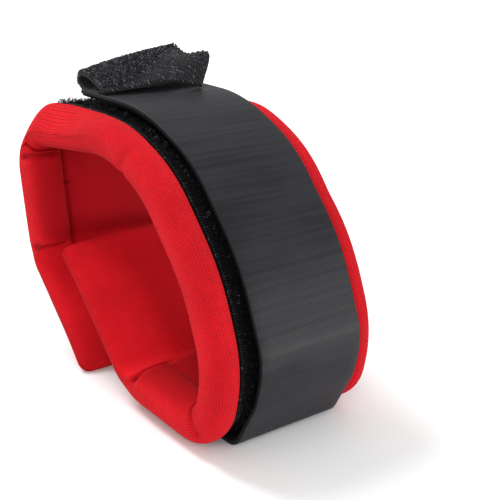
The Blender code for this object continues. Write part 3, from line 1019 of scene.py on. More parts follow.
@dataclass(frozen=True)
class PadShape:
    """The pad's cross-section: rolled margins, a trough under the tape, and a sewn-down middle inside."""

    width: float = 47.0 * MM
    thickness: float = 8.0 * MM
    edge: float = 4.0 * MM
    fullness: float = 2.6
    tape_half: float = 16.0 * MM
    trough: float = 1.9 * MM
    trough_ramp: float = 1.3 * MM
    seam: float = 14.2 * MM
    channel: float = 1.3 * MM
    channel_width: float = 0.8 * MM
    sink: float = 3.0 * MM
    thin_edge: float = 0.62
    thin_end: float = 0.45
    puff: float = 0.9 * MM
    end_corner: float = 3.0 * MM
    end_round: float = 2.4 * MM
    bare_end: float = 7.0 * MM
    seam_zone: float = 1.6 * MM

    def side_places(self) -> np.ndarray:
        """Places across half of a face, from the middle to where the edge begins to turn."""
        flat = self.width / 2 - self.edge
        ramp = self.tape_half + self.trough_ramp
        seam = self.seam - self.seam_zone
        spans = ((seam, self.tape_half, 8), (self.tape_half, ramp, 3), (ramp, flat, 4))
        return np.concatenate([np.linspace(0, seam, 9)] + [np.linspace(a, b, n)[1:] for a, b, n in spans])

    def outline(self, depth: float, sewn: float, thin: float, inset: float = 0.0) -> np.ndarray:
        """The outline of a station, from the middle of the outer face towards the near side.

        Args:
            depth: its distance from the nearer closed end.
            sewn: how far its middle is sewn down inside, from 0 to 1.
            thin: how far its margins thin out inside, from 0 to 1.
            inset: how far the whole outline is drawn in.

        Returns:
            Rows of y and offset.
        """
        half = self.thickness / 2 - inset
        side = self.side_places()
        turn = np.linspace(0, math.pi, 15)[1:-1]
        power = 2 / self.fullness
        bulge = np.sin(turn) ** power
        rise = np.sign(np.cos(turn)) * np.abs(np.cos(turn)) ** power
        flat = self.width / 2 - self.edge
        edge = self.edge - inset
        y = np.concatenate([-side, -flat - edge * bulge, -side[::-1],
                            side[1:], flat + edge * bulge, side[:0:-1]])
        up = np.concatenate([np.ones(len(side)), rise, -np.ones(2 * len(side) - 1),
                             -rise, np.ones(len(side) - 1)])
        across = np.abs(y)
        squeeze = 1 - self.end_inset(self.end_corner, depth) / (self.width / 2)
        flatten = 1 - self.end_inset(self.end_round, depth) / half
        n = -self.thickness / 2 + up * half * flatten
        thinned = 1 - thin * self.thin_edge * smooth_step(9 * MM, self.width / 2, across)
        thinned = thinned * (1 - self.thin_end * float(smooth_step(13 * MM, 0.0, np.array(depth))))
        n = n * thinned
        begun = float(smooth_step(self.bare_end - 1.6 * MM, self.bare_end, np.array(depth)))
        outer = smooth_step(0.6, 1.0, up)
        inner = smooth_step(-0.6, -1.0, up)
        taped = smooth_step(self.tape_half + self.trough_ramp, self.tape_half, across)
        n = n - outer * begun * self.trough * taped
        margin = smooth_step(self.tape_half, self.width / 2 - self.edge, across)
        n = n + outer * self.puff * margin * (1 - thin)
        dip = np.exp(-(((across - self.seam) / self.channel_width) ** 2))
        middle = smooth_step(self.seam + 0.9 * MM, self.seam - 0.7 * MM, across)
        n = n + inner * sewn * begun * (self.channel * dip + self.sink * middle)
        return np.stack([y * squeeze, n], axis=-1)

    @staticmethod
    def end_inset(radius: float, depth: float) -> float:
        """How far a rounded end has drawn in at a depth from its tip."""
        if depth >= radius:
            return 0.0
        return radius - math.sqrt(radius**2 - (radius - depth) ** 2)


@dataclass(frozen=True)
class Pucker:
    """A crease across a margin where the sleeve is bunched up, with a roll on each side of it."""

    corner: str
    ahead: float
    depth: float
    width: float
    lean: float = 0.0
    reach: float = 9.0 * MM
    side: float = -1.0
    skin: float = 0.5 * MM

    def pull(self, s: np.ndarray, outlines: np.ndarray, shape: "PadShape", at: float) -> np.ndarray:
        """How far each vertex moves, as rows of y and offset.

        Args:
            s: arc lengths of the rings.
            outlines: their outlines.
            shape: the pad's section.
            at: the arc length of the corner.

        Returns:
            An array like the outlines.
        """
        y, n = outlines[..., 0], outlines[..., 1]
        core = np.stack([np.full(y.shape, self.side * (shape.width / 2 - shape.edge)),
                         np.full(y.shape, -shape.thickness / 2)], axis=-1)
        inward = core - outlines
        inward /= np.maximum(np.linalg.norm(inward, axis=-1, keepdims=True), 2.5 * MM)
        place = at + self.ahead + self.lean * (n + shape.thickness / 2) / shape.thickness
        away = (s[:, None] - place) / self.width
        fold = np.exp(-(away**2)) - 0.18 * np.exp(-((np.abs(away) - 2.4) ** 2))
        limit = shape.width / 2 - self.reach
        window = smooth_step(limit, limit + 3 * MM, self.side * y)
        window = window * smooth_step(self.skin, self.skin - 2 * MM, n)
        return inward * (self.depth * fold * window)[..., None]


# Sub-assemblies.


@dataclass(frozen=True)
class ClothPress:
    """How the sleeve is blown up over its foam: cloth simulated at a larger scale, its travel capped."""

    scale: float = 20.0
    frames: int = 20
    pressure: float = 4.0
    mass: float = 0.02
    cap: float = 1.6 * MM

    def blow_up(self, thing: bpy.types.Object, sewn: np.ndarray, rest: np.ndarray,
                kept: np.ndarray) -> None:
        """Simulates the piece and keeps the result in its mesh.

        Args:
            thing: the piece.
            sewn: how firmly each vertex is held, from 0 to 1.
            rest: the cut of the cloth, as the places of its vertices laid out slack.
            kept: the share of its travel that each vertex keeps, ring by ring.
        """
        data = thing.data
        start = vertex_places(data)
        data.vertices.foreach_set("co", start * self.scale)
        thing.shape_key_add(name="start", from_mix=False)
        cut = thing.shape_key_add(name="cut", from_mix=False)
        cut.data.foreach_set("co", (rest * self.scale).astype(np.float32).ravel())
        cut.value = 0.0
        group = thing.vertex_groups.new(name="sewn")
        for level in np.unique(sewn[sewn > 0]):
            group.add(np.flatnonzero(sewn == level).tolist(), float(level), "REPLACE")
        modifier = thing.modifiers.new("cloth", "CLOTH")
        cloth = modifier.settings
        cloth.quality = 6
        cloth.mass = self.mass
        cloth.air_damping = 2.0
        cloth.tension_stiffness = cloth.compression_stiffness = 12.0
        cloth.shear_stiffness = 4.0
        cloth.bending_stiffness = 0.4
        cloth.use_pressure = True
        cloth.uniform_pressure_force = self.pressure
        cloth.vertex_group_mass = "sewn"
        cloth.rest_shape_key = cut
        cloth.effector_weights.gravity = 0.0
        modifier.collision_settings.use_collision = False
        modifier.point_cache.frame_start = 1
        modifier.point_cache.frame_end = self.frames
        scene = bpy.context.scene
        for number in range(1, self.frames + 1):
            scene.frame_set(number)
        blown = evaluated(thing)
        end = vertex_places(blown)
        scene.frame_set(1)
        thing.modifiers.remove(modifier)
        thing.shape_key_clear()
        bpy.data.meshes.remove(blown)
        travel = (end / self.scale - start).reshape(kept.shape + (3,))
        for axis in (0, 1):
            travel = (np.roll(travel, 1, axis) + 2 * travel + np.roll(travel, -1, axis)) / 4
        far = np.linalg.norm(travel, axis=-1, keepdims=True)
        LOG.info("cloth travel: %.2f mm at most", float(far.max()) / MM)
        travel *= kept[..., None] * np.minimum(1.0, self.cap / np.maximum(far, 1e-9))
        data.vertices.foreach_set("co", (start.reshape(-1, 3) + travel.reshape(-1, 3)).ravel())
        data.update()


@dataclass(frozen=True)
class PaddedBand:
    """The knit sleeve and its foam core, run by run."""

    loop: Loop
    shape: PadShape = PadShape()
    press: ClothPress = ClothPress()
    step: float = 1.1 * MM
    slack: float = 0.18
    corner_drop: float = 2.6 * MM
    crest_drop: float = 1.3 * MM
    tight: float = 18.0 * MM
    foam_inset: float = 2.3 * MM
    foam_trim: int = 2
    puckers: tuple[Pucker, ...] = (
        Pucker("crease", 0.5 * MM, 2.1 * MM, 0.8 * MM, lean=1.5 * MM, skin=-1.0 * MM),
        Pucker("top_left", -8.0 * MM, 1.8 * MM, 0.8 * MM, lean=-1.5 * MM, skin=-1.0 * MM),
        Pucker("top_left", -2.5 * MM, 2.1 * MM, 0.9 * MM, lean=3.0 * MM, skin=-1.0 * MM),
        Pucker("shoulder", -9.0 * MM, 0.5 * MM, 0.9 * MM, reach=7.0 * MM),
        Pucker("bottom_right", 1.5 * MM, 1.1 * MM, 0.9 * MM, lean=-2.0 * MM),
        Pucker("bottom_left", -1.0 * MM, 2.0 * MM, 1.2 * MM, reach=13.0 * MM, skin=-3.5 * MM),
        Pucker("crease", 1.0 * MM, 1.4 * MM, 1.0 * MM, side=1.0),
        Pucker("top_left", -1.0 * MM, 1.3 * MM, 1.0 * MM, side=1.0),
        Pucker("bottom_right", 2.0 * MM, 1.0 * MM, 1.0 * MM, side=1.0),
        Pucker("bottom_left", 0.5 * MM, 1.5 * MM, 1.0 * MM, side=1.0),
    )

    def stations(self, length: float) -> tuple[np.ndarray, np.ndarray]:
        """Arc lengths of the rings and their depth from the nearer closed end."""
        radius = self.shape.end_corner
        ends = radius * (1 - np.cos(np.linspace(0.12, math.pi / 2, 8)))
        body = np.linspace(ends[-1], length - ends[-1], round((length - 2 * ends[-1]) / self.step))
        s = np.concatenate([ends, body[1:-1], length - ends[::-1]])
        return s, np.minimum(s, length - s)

    def sleeve(self, line: Line, inset: float = 0.0) -> tuple[np.ndarray, np.ndarray, np.ndarray, np.ndarray]:
        """The rings of the whole band.

        Args:
            line: the line to sweep along.
            inset: how far the section is drawn in.

        Returns:
            The rings' points, arc lengths, outlines and depths.
        """
        s, depth = self.stations(line.length)
        at = self.loop.places(line)
        flap = smooth_step(at["bottom_left"] - 2 * MM, at["bottom_left"] + 6 * MM, s)
        tip = smooth_step(at["crease"] + 2 * MM, at["crease"] - 5 * MM, s)
        sewn = 1 - np.maximum(smooth_step(at["bottom_right"] + 4 * MM, at["bottom_left"] - 8 * MM, s), tip)
        thin = np.maximum(flap, 0.8 * tip)
        outlines = np.stack([self.shape.outline(float(d), float(a), float(b), inset)
                             for d, a, b in zip(depth, sewn, thin)])
        points = line.place(s[:, None], outlines[..., 0], outlines[..., 1])
        return points, s, outlines, depth

    def bunched(self, line: Line, rings: np.ndarray, s: np.ndarray, outlines: np.ndarray) -> np.ndarray:
        """The rings with the sleeve's creases, and with the middle lifted where the tape is pulled up."""
        at = self.loop.places(line)
        pull = sum(p.pull(s, outlines, self.shape, at[p.corner]) for p in self.puckers)
        t = line.tangent(s)
        out = np.stack([-t[:, 1], np.zeros(len(s)), t[:, 0]], axis=-1)[:, None]
        outer = smooth_step(-self.shape.thickness / 2, -0.2 * self.shape.thickness, outlines[..., 1])
        inside = smooth_step(self.shape.width / 2 - 1 * MM, self.shape.tape_half, np.abs(outlines[..., 0]))
        corner = at["top_left"]
        drop = self.corner_drop * smooth_step(corner - 12 * MM, corner, s)
        drop = drop + self.crest_drop * smooth_step(corner + 2 * MM, corner + 13 * MM, s)
        drop = drop * smooth_step(corner + 38 * MM, corner + 14 * MM, s)
        lift = outer * (self.loop.lifted(line, s)[:, None] * inside - drop[:, None] * (1 - inside))
        across = np.array([0.0, 1.0, 0.0])
        return rings + across * pull[..., :1] + out * (pull[..., 1:] + lift[..., None])

    def build(self) -> list[bpy.types.Object]:
        """Makes the sleeve's and the foam's pieces."""
        line = self.loop.line()
        points, s, outlines, depth = self.sleeve(line)
        count = points.shape[1]
        faces: list[Sequence[int]] = list(ring_faces(len(s), count))
        faces += zip_faces(0, count) + zip_faces((len(s) - 1) * count, count)
        whole = new_object("knit_sleeve", mesh_of("knit_sleeve", points, faces))
        slack_points = self.sleeve(line.opened(self.slack, self.tight))[0]
        at = self.loop.places(line)
        flat = np.maximum(smooth_step(at["bottom_left"] - 4 * MM, at["bottom_left"] + 4 * MM, s),
                          smooth_step(at["crease"] + 2 * MM, at["crease"] - 4 * MM, s))
        kept = np.broadcast_to(0.85 - 0.75 * flat[:, None], points.shape[:2])
        self.press.blow_up(whole, self.sewn(outlines, depth), slack_points, kept)
        blown = vertex_places(whole.data).reshape(len(s), count, 3)
        discard(whole)
        rings = self.bunched(line, blown, s, outlines)
        made = []
        for run in self.loop.runs(line):
            made.append(self.cover(run, line, rings, s, outlines))
            made.append(self.core(run, line))
        return made

    def sewn(self, outlines: np.ndarray, depth: np.ndarray) -> np.ndarray:
        """How firmly each vertex is held: fast under the tape, and by the thread in the channels."""
        y, n = np.abs(outlines[..., 0]), outlines[..., 1]
        taped = (n > -self.shape.thickness / 2) & (y < self.shape.tape_half + 0.1 * MM)
        taped &= depth[:, None] > self.shape.bare_end - 0.5 * MM
        inner = n < -self.shape.thickness / 2
        threaded = inner & (np.abs(y - self.shape.seam) < 0.4 * MM) & (depth[:, None] > self.shape.bare_end)
        return np.where(taped, 1.0, np.where(threaded, 0.9, 0.0)).ravel()

    @staticmethod
    def rings_of(run: Run, s: np.ndarray) -> tuple[int, int]:
        """The numbers of a run's first and last rings."""
        return int(np.abs(s - run.start).argmin()), int(np.abs(s - run.stop).argmin())

    def cover(self, run: Run, line: Line, rings: np.ndarray, s: np.ndarray,
              outlines: np.ndarray) -> bpy.types.Object:
        """One run of the sleeve, cut out of the whole."""
        first, last = self.rings_of(run, s)
        part = rings[first:last + 1]
        count = rings.shape[1]
        faces: list[Sequence[int]] = list(ring_faces(len(part), count))
        if first == 0:
            faces += zip_faces(0, count)
        if last == len(s) - 1:
            faces += zip_faces((len(part) - 1) * count, count)
        data = mesh_of(f"cover_{run.name}", part, faces)
        middle = outlines[len(s) // 2]
        around = np.concatenate(([0.0], np.cumsum(np.linalg.norm(np.diff(middle, axis=0), axis=1))))
        total = around[-1] + float(np.linalg.norm(middle[0] - middle[-1]))
        knit = np.zeros((len(part), count, 3))
        knit[..., 0] = s[first:last + 1, None]
        knit[..., 1] = around[None, :]
        self.knit_map(data, knit.reshape(-1, 3), total)
        plain = self.shape.outline(1.0, 0.0, 0.0)[:, 1]
        brushed = smooth_step(-0.6 * self.shape.thickness, -0.99 * self.shape.thickness, plain)
        number_attribute(data, "nap", np.broadcast_to(brushed, part.shape[:2]))
        at = self.loop.places(line)
        # Painted shade: a mask that is high on the inner face inside the loop and in the creases of the
        # puckers.
        enclosed = smooth_step(at["bottom_left"] + 2 * MM, at["bottom_left"] - 6 * MM, s[first:last + 1])
        enclosed = enclosed * smooth_step(at["crease"] - 2 * MM, at["crease"] + 5 * MM, s[first:last + 1])
        pull = sum(p.pull(s, outlines, self.shape, at[p.corner]) for p in self.puckers)
        folded = np.clip(np.linalg.norm(pull[first:last + 1], axis=-1) / (1.5 * MM), 0, 1)
        number_attribute(data, "hollow", np.maximum(enclosed[:, None] * brushed[None, :], 1.1 * folded**1.5))
        piece = subdivided(new_object(f"cover_{run.name}", data), 1)
        capped(piece.data)
        piece.data.materials.append(RED_KNIT.made())
        fit(piece, "red_knit", f"{run.node}_cover")
        self.loop.attach(piece, line, run)
        return piece

    @staticmethod
    def knit_map(data: bpy.types.Mesh, places: np.ndarray, total: float) -> None:
        """Stores the knit's own map at each face corner, so that it doesn't tear where a ring closes."""
        loops = np.zeros(len(data.loops), np.int32)
        data.loops.foreach_get("vertex_index", loops)
        values = places[loops]
        sides = np.zeros(len(data.polygons), np.int32)
        starts = np.zeros(len(data.polygons), np.int32)
        data.polygons.foreach_get("loop_total", sides)
        data.polygons.foreach_get("loop_start", starts)
        for start, number in zip(starts, sides):
            face = values[start:start + number]
            if number == 4 and face[:, 1].max() - face[:, 1].min() > total / 2:
                face[face[:, 1] < total / 2, 1] += total
        data.attributes.new("knit_map", "FLOAT_VECTOR", "CORNER").data.foreach_set("vector", values.ravel())

    def core(self, run: Run, line: Line) -> bpy.types.Object:
        """One run of the foam, inside the sleeve."""
        points, s, _, _ = self.sleeve(line, inset=self.foam_inset)
        first, last = self.rings_of(run, s)
        if first == 0:
            first += self.foam_trim
        if last == len(s) - 1:
            last -= self.foam_trim
        part = points[first:last + 1]
        data = mesh_of(f"foam_{run.name}", part, ring_faces(len(part), points.shape[1]))
        capped(data)
        piece = new_object(f"foam_{run.name}", data)
        piece.data.materials.append(FOAM.made())
        fit(piece, "foam", f"{run.node}_foam")
        self.loop.attach(piece, line, run)
        return piece


def flat_band(line: Line, start: float, stop: float, step: float,
              section: Callable[[np.ndarray], tuple[np.ndarray, np.ndarray]], name: str) -> bpy.types.Object:
    """A closed band swept along a line.

    Args:
        line: the line.
        start: the arc length where it begins.
        stop: the arc length where it ends.
        step: the distance between rings.
        section: gives y and offset of the section's points, for the arc length of each ring.
        name: the piece's name.

    Returns:
        The band.
    """
    s = np.linspace(start, stop, max(2, round((stop - start) / step)))
    y, n = section(s)
    points = line.place(s[:, None], y, n)
    count = points.shape[1]
    faces: list[Sequence[int]] = list(ring_faces(len(s), count))
    faces += [tuple(range(count)), tuple(range((len(s) - 1) * count, len(s) * count))]
    data = mesh_of(name, points, faces)
    outwards(data)
    data.set_sharp_from_angle(angle=math.radians(60))
    return new_object(name, data)


@dataclass(frozen=True)
class LoopTape:
    """The loop tape: a woven ground with two ribbed selvedges, its pile, its edge loops and its stitching."""

    loop: Loop
    shape: PadShape = PadShape()
    low: float = -1.7 * MM
    high: float = -0.95 * MM
    selvedge: float = 1.6 * MM
    sewing: float = 13.5 * MM
    rib_pitch: float = 0.62 * MM
    picot_pitch: float = 0.9 * MM
    stitch_pitch: float = 2.9 * MM
    pile_density: float = 1.9e6
    curl_density: float = 2.6e6
    covered: float = 13.0 * MM
    curl_height: float = 1.9

    def span(self, run: Run, line: Line) -> tuple[float, float]:
        """Where the tape of a run begins and ends."""
        return max(run.start, self.shape.bare_end), min(run.stop, line.length - self.shape.bare_end)

    def build(self) -> list[bpy.types.Object]:
        """Makes the tape's pieces, run by run."""
        line = self.loop.line()
        parts = [self.loop_fibre(1.0), self.rib(), self.picot(), self.stitch(),
                 self.loop_fibre(self.curl_height)]
        made = []
        for number, run in enumerate(self.loop.runs(line)):
            start, stop = self.span(run, line)
            ground = flat_band(line, start, stop, 1.2 * MM, self.section, f"loop_tape_{run.name}")
            ground.data.materials.append(TAPE_GROUND.made())
            *fibres, thread = self.layers(run, number, line, parts)
            fit(ground, "loop_tape", f"{run.node}_loop_tape")
            fit(thread, "thread", f"{run.node}_stitches_near", f"{run.node}_stitches_far")
            for piece in fibres:
                fit(piece, "loop_tape")
            for piece in (ground, *fibres, thread):
                self.loop.attach(piece, line, run)
                made.append(piece)
        for part in parts:
            discard(part)
        return made

    def layers(self, run: Run, number: int, line: Line,
               parts: Sequence[bpy.types.Object]) -> list[bpy.types.Object]:
        """What stands on the ground of one run.

        Args:
            run: the run.
            number: its number, which sets the chance of its fibres.
            line: the loop's line.
            parts: a pile loop, a rib, an edge loop, a stitch and a tall pile loop.

        Returns:
            The pile, the taller curls on the bare strips, the ribs, the edge loops and the stitches.
        """
        fibre, rib, picot, stitch, tall = parts
        start, stop = self.span(run, line)
        half = self.shape.tape_half
        inner = half - self.selvedge
        side = inner + 0.2 * MM
        bare = ((-side, -self.covered), (self.covered, side))
        proud = self.high + 0.1 * MM
        pile = Repeat(Spread.SCATTERED, PILE, density=self.pile_density, least=0.7, most=1.25,
                      tilt=0.55, turn=math.pi, seed=11 + number)
        curls = Repeat(Spread.SCATTERED, CURL, density=self.curl_density, least=0.7, most=1.35,
                       tilt=0.75, turn=math.pi, seed=15 + number)
        ribs = Repeat(Spread.ALONG, SELVEDGE, pitch=self.rib_pitch, least=0.95, most=1.03, turn=0.03, seed=21)
        picots = Repeat(Spread.ALONG, PICOT, pitch=self.picot_pitch, least=0.7, most=1.15, turn=0.3, seed=31)
        sewing = Repeat(Spread.ALONG, THREAD, pitch=self.stitch_pitch, turn=0.04, seed=41)
        edge = self.rows(line, start, stop, half - self.selvedge / 2, self.high)
        return [
            pile.grow(f"loop_pile_{run.name}", self.pile_bed(line, start, stop, ((-inner, inner),)), fibre),
            curls.grow(f"pile_curls_{run.name}", self.pile_bed(line, start, stop, bare), tall),
            ribs.grow(f"selvedge_ribs_{run.name}", edge, rib),
            picots.grow(f"edge_loops_{run.name}", self.rows(line, start, stop, half, proud), picot),
            sewing.grow(f"stitches_{run.name}", self.rows(line, start, stop, self.sewing, proud), stitch),
        ]

    def section(self, s: np.ndarray) -> tuple[np.ndarray, np.ndarray]:
        """The tape's section: thinner at the selvedges than under the pile."""
        lift = self.loop.lifted(self.loop.line(), s)[:, None]
        half = self.shape.tape_half
        inner = half - self.selvedge
        edge = self.high - 0.15 * MM
        y = np.array([-half, -half, -inner - 0.3 * MM, -inner, inner, inner + 0.3 * MM, half, half])
        n = np.array([self.low, edge, edge, self.high, self.high, edge, edge, self.low])
        return np.broadcast_to(y, (len(s), len(y))), n[None, :] + lift

    def pile_bed(self, line: Line, start: float, stop: float,
                 strips: Sequence[tuple[float, float]]) -> bpy.types.Object:
        """The faces that the pile grows from, in strips between two places across the tape."""
        s = np.linspace(start + 0.3 * MM, stop - 0.3 * MM, max(2, round((stop - start) / (1.0 * MM))))
        high = self.high - 0.02 * MM + self.loop.lifted(line, s)[:, None]
        points = np.concatenate([line.place(s[:, None], np.array(strip)[None, :], high) for strip in strips])
        starts = [2 * (k * len(s) + i) for k in range(len(strips)) for i in range(len(s) - 1)]
        return new_object("pile_bed", mesh_of("pile_bed", points, [(a + 2, a + 3, a + 1, a) for a in starts]))

    def rows(self, line: Line, start: float, stop: float, across: float, offset: float) -> bpy.types.Object:
        """Two guide lines along the tape, near and far, that know which way is up."""
        s = np.linspace(start, stop, max(2, round((stop - start) / (0.5 * MM))))
        offset = offset + self.loop.lifted(line, s)
        points = np.stack([line.place(s, side * across, offset) for side in (-1, 1)])
        t = line.tangent(s)
        up = np.stack([-t[:, 1], np.zeros(len(s)), t[:, 0]], axis=-1)
        count = len(s)
        data = bpy.data.meshes.new("rows")
        edges = [(k * count + i, k * count + i + 1) for k in (0, 1) for i in range(count - 1)]
        data.from_pydata(points.reshape(-1, 3).tolist(), edges, [])
        vector_attribute(data, "up", np.vstack([up, up]))
        return new_object("rows", data)

    @staticmethod
    def loop_fibre(height: float) -> bpy.types.Object:
        """A soft loop of the pile, taller by a factor."""
        turn = np.linspace(-0.2, 1.15 * math.pi, 6)
        x = 0.26 * MM * np.cos(turn) - 0.1 * MM
        z = (0.34 * MM * np.sin(turn) + 0.28 * MM) * height
        points = np.stack([x, np.linspace(0, 0.12, 6) * MM * height, z], axis=-1)
        return tube("loop_fibre", points, np.full(6, 0.05 * MM), 3)

    def rib(self) -> bpy.types.Object:
        """One weft rib of the selvedge, lying across the tape."""
        y = np.linspace(-0.5, 0.5, 4) * (self.selvedge - 0.1 * MM)
        points = np.stack([np.zeros(4), y, np.array([-0.06, 0.0, 0.0, -0.06]) * MM], axis=-1)
        return tube("rib", points, np.array([0.12, 0.24, 0.24, 0.12]) * MM, 6)

    @staticmethod
    def picot() -> bpy.types.Object:
        """One small loop of weft at the edge of the tape."""
        x = np.linspace(-0.5, 0.5, 5)
        z = 0.12 * MM * (1 - (2 * x) ** 2)
        return tube("picot", np.stack([x * 0.5 * MM, np.zeros(5), z], axis=-1), np.full(5, 0.1 * MM), 5)

    @staticmethod
    def stitch() -> bpy.types.Object:
        """One stitch of thread that dives into the tape at both ends."""
        x = np.linspace(-1, 1, 7)
        points = np.stack([x * 1.1 * MM, np.zeros(7), 0.3 * MM * (1 - np.abs(x) ** 2.5) - 0.2 * MM], axis=-1)
        return tube("stitch", points, np.array([0.1, 0.17, 0.2, 0.2, 0.2, 0.17, 0.1]) * MM, 6)


@dataclass(frozen=True)
class Strap:
    """The ribbed strap: sewn under the band, folded at its crease, up the wall and over the top."""

    loop: Loop
    near: float = -13.2 * MM
    far: float = 16.8 * MM
    inside: float = 0.8 * MM
    thickness: float = 1.1 * MM
    edge: float = 0.3 * MM
    tuck: float = 3.6 * MM
    turn: float = 11.0 * MM
    root_end: float = 12.28 * MM
    free_x: float = -29.8 * MM
    free_z: float = 59.0 * MM
    step: float = 0.5 * MM
    ripple: float = 0.012 * MM
    ripple_pitches: tuple[float, float] = (1.9 * MM, 3.1 * MM)
    split: float = 6.0 * MM
    shoulder_reach: tuple[float, float] = (4.0 * MM, 13.0 * MM)
    crease_reach: tuple[float, float] = (2.0 * MM, 2.0 * MM)

    def line(self) -> Line:
        """The strap's inner side, from its end on top, down the wall and under the band."""
        corners = self.loop.corners()
        foot = self.inside + self.thickness
        crease_x = corners["bottom_right"].x - self.tuck
        wall_x = corners["lower_wall"].x
        shared = [corners[name] for name in ("crest", "shoulder", "upper_wall", "lower_wall")]
        path = [Corner(self.free_x, self.free_z), *shared,
                Corner(wall_x - 0.5 * MM, self.turn + foot, 9.0 * MM),
                Corner(crease_x, foot, 1.3 * MM), Corner(self.root_end, foot)]
        return Line(rounded(path, 0.25 * MM, 1.2 * MM))

    def section(self, s: np.ndarray) -> tuple[np.ndarray, np.ndarray]:
        """The strap's section, with rounded edges and a faint ripple along its outside."""
        e = self.edge
        low, high = self.inside, self.inside + self.thickness
        across = np.linspace(self.near + e, self.far - e, 13)
        corner = np.linspace(0, math.pi / 2, 4)
        up_y = np.concatenate([self.near + e - e * np.cos(corner)[:-1], across,
                               self.far - e + e * np.sin(corner)[1:]])
        up_n = np.concatenate([high - e + e * np.sin(corner)[:-1], np.full(len(across), high),
                               high - e + e * np.cos(corner)[1:]])
        y = np.concatenate([up_y, up_y[::-1]])
        n = np.concatenate([up_n, (low + high) - up_n[::-1]])
        short, long = (s / pitch * 2 * math.pi for pitch in self.ripple_pitches)
        waves = self.ripple * (np.sin(short) + 0.6 * np.sin(long + 1.0))
        lifted = np.zeros((len(s), len(y)))
        lifted[:, 3:16] = waves[:, None]
        return np.broadcast_to(y, lifted.shape), n[None, :] + lifted

    def build(self) -> list[bpy.types.Object]:
        """Makes the strap in two pieces, each bent at one of its folds."""
        line = self.line()
        corners = self.loop.corners()
        shoulder = line.nearest(corners["shoulder"].x, corners["shoulder"].z)
        middle = line.nearest(corners["upper_wall"].x, corners["upper_wall"].z) + self.split
        crease = line.nearest(corners["bottom_right"].x - self.tuck, self.inside + self.thickness)
        upper = self.piece("strap_upper", line, 0.0, middle)
        lower = self.piece("strap_lower", line, middle, line.length)
        fit(upper, "strap_rubber", "strap_top")
        fit(lower, "strap_rubber", "strap_wall", "strap_root")
        self.bend(upper, line, shoulder, "strap_main", "strap_end", self.shoulder_reach)
        self.bend(lower, line, crease, "band", "strap_main", self.crease_reach)
        return [upper, lower]

    @staticmethod
    def bend(piece: bpy.types.Object, line: Line, at: float, before: str, after: str,
             reach: tuple[float, float]) -> None:
        """Bends a piece of the strap at a fold.

        Args:
            piece: the piece.
            line: the strap's line.
            at: the arc length of the fold.
            before: the body it follows on the side of the strap's root.
            after: the body it follows towards the strap's free end.
            reach: how far the bend reaches towards the root and towards the free end.
        """
        middle = line.place(at, 0.0, 0.0)
        t = line.tangent(np.array(at))
        ahead = np.array([t[0], 0.0, t[1]])
        start, end = middle + ahead * reach[0], middle - ahead * reach[1]
        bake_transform(piece, before, after, start=tuple(start), end=tuple(end))

    def piece(self, name: str, line: Line, start: float, stop: float) -> bpy.types.Object:
        """One piece of the strap with its map, edge mask and finish."""
        made = flat_band(line, start, stop, self.step, self.section, name)
        s = np.linspace(start, stop, max(2, round((stop - start) / self.step)))
        y, _ = self.section(s)
        LOG.info("%s: cut %.1f by %.1f mm", name, (self.far - self.near) / MM, (stop - start) / MM)
        places = np.stack([np.broadcast_to(s[:, None], y.shape), y, np.zeros(y.shape)], axis=-1)
        vector_attribute(made.data, "strap_map", places.reshape(-1, 3))
        # A mask for painted shade along the strap's cut edges.
        side = np.minimum(y - self.near, self.far - y)
        number_attribute(made.data, "edge", 1 - smooth_step(0.02 * MM, self.edge * 0.7, side))
        made.data.materials.append(STRAP_RUBBER.made())
        return made


@dataclass(frozen=True)
class TabStation:
    """The pull tab's fold at one place across the strap. Each point is x, y and z."""

    sewn: tuple[float, float, float]
    heel: tuple[float, float, float]
    back: tuple[float, float, float]
    ridge: tuple[float, float, float]
    brow: tuple[float, float, float]
    cheek: tuple[float, float, float]
    edge: tuple[float, float, float]

    def points(self) -> np.ndarray:
        """Rows of x, y and z from the sewn end over the fold to the free edge."""
        return np.array([self.sewn, self.heel, self.back, self.ridge, self.brow, self.cheek, self.edge]) * MM


def through(points: np.ndarray, t: np.ndarray) -> np.ndarray:
    """Places on a smooth curve through points, along their first axis.

    Args:
        points: the points, evenly spread from 0 to 1.
        t: where to read the curve, from 0 to 1.

    Returns:
        The places.
    """
    count = len(points)
    padded = np.concatenate([2 * points[:1] - points[1:2], points, 2 * points[-1:] - points[-2:-1]])
    place = np.clip(t, 0, 1) * (count - 1)
    i = np.minimum(place.astype(int), count - 2)
    f = (place - i).reshape((-1,) + (1,) * (points.ndim - 1))
    a, b, c, d = (padded[i + k] for k in range(4))
    return 0.5 * (2 * b + (c - a) * f + (2 * a - 5 * b + 4 * c - d) * f**2 + (3 * b - a - 3 * c + d) * f**3)


def shell(name: str, grid: np.ndarray, up: np.ndarray, low: float, high: float,
          round_edge: float) -> bpy.types.Object:
    """A closed sheet between two offsets of a grid, with its borders drawn in a little.

    Args:
        name: the object's name.
        grid: rows by columns of points.
        up: the grid's unit normals.
        low: the offset of its lower face.
        high: the offset of its upper face.
        round_edge: how much thinner the borders are.

    Returns:
        The sheet.
    """
    rows, columns = grid.shape[:2]
    thin = np.zeros((rows, columns, 1))
    thin[[0, -1]] = thin[:, [0, -1]] = round_edge
    top = grid + up * (high - thin)
    bottom = grid + up * (low + thin)
    count = rows * columns
    faces: list[Sequence[int]] = []
    for i in range(rows - 1):
        for j in range(columns - 1):
            a = i * columns + j
            faces.append((a, a + 1, a + columns + 1, a + columns))
            faces.append(tuple(count + k for k in (a, a + columns, a + columns + 1, a + 1)))
    border = [i * columns for i in range(rows)] + [(rows - 1) * columns + j for j in range(1, columns)]
    border += [i * columns + columns - 1 for i in range(rows - 2, -1, -1)] + list(range(columns - 2, 0, -1))
    for a, b in zip(border, border[1:] + border[:1]):
        faces.append((a, b, b + count, a + count))
    data = mesh_of(name, np.concatenate([top.reshape(-1, 3), bottom.reshape(-1, 3)]), faces)
    outwards(data)
    return new_object(name, data)


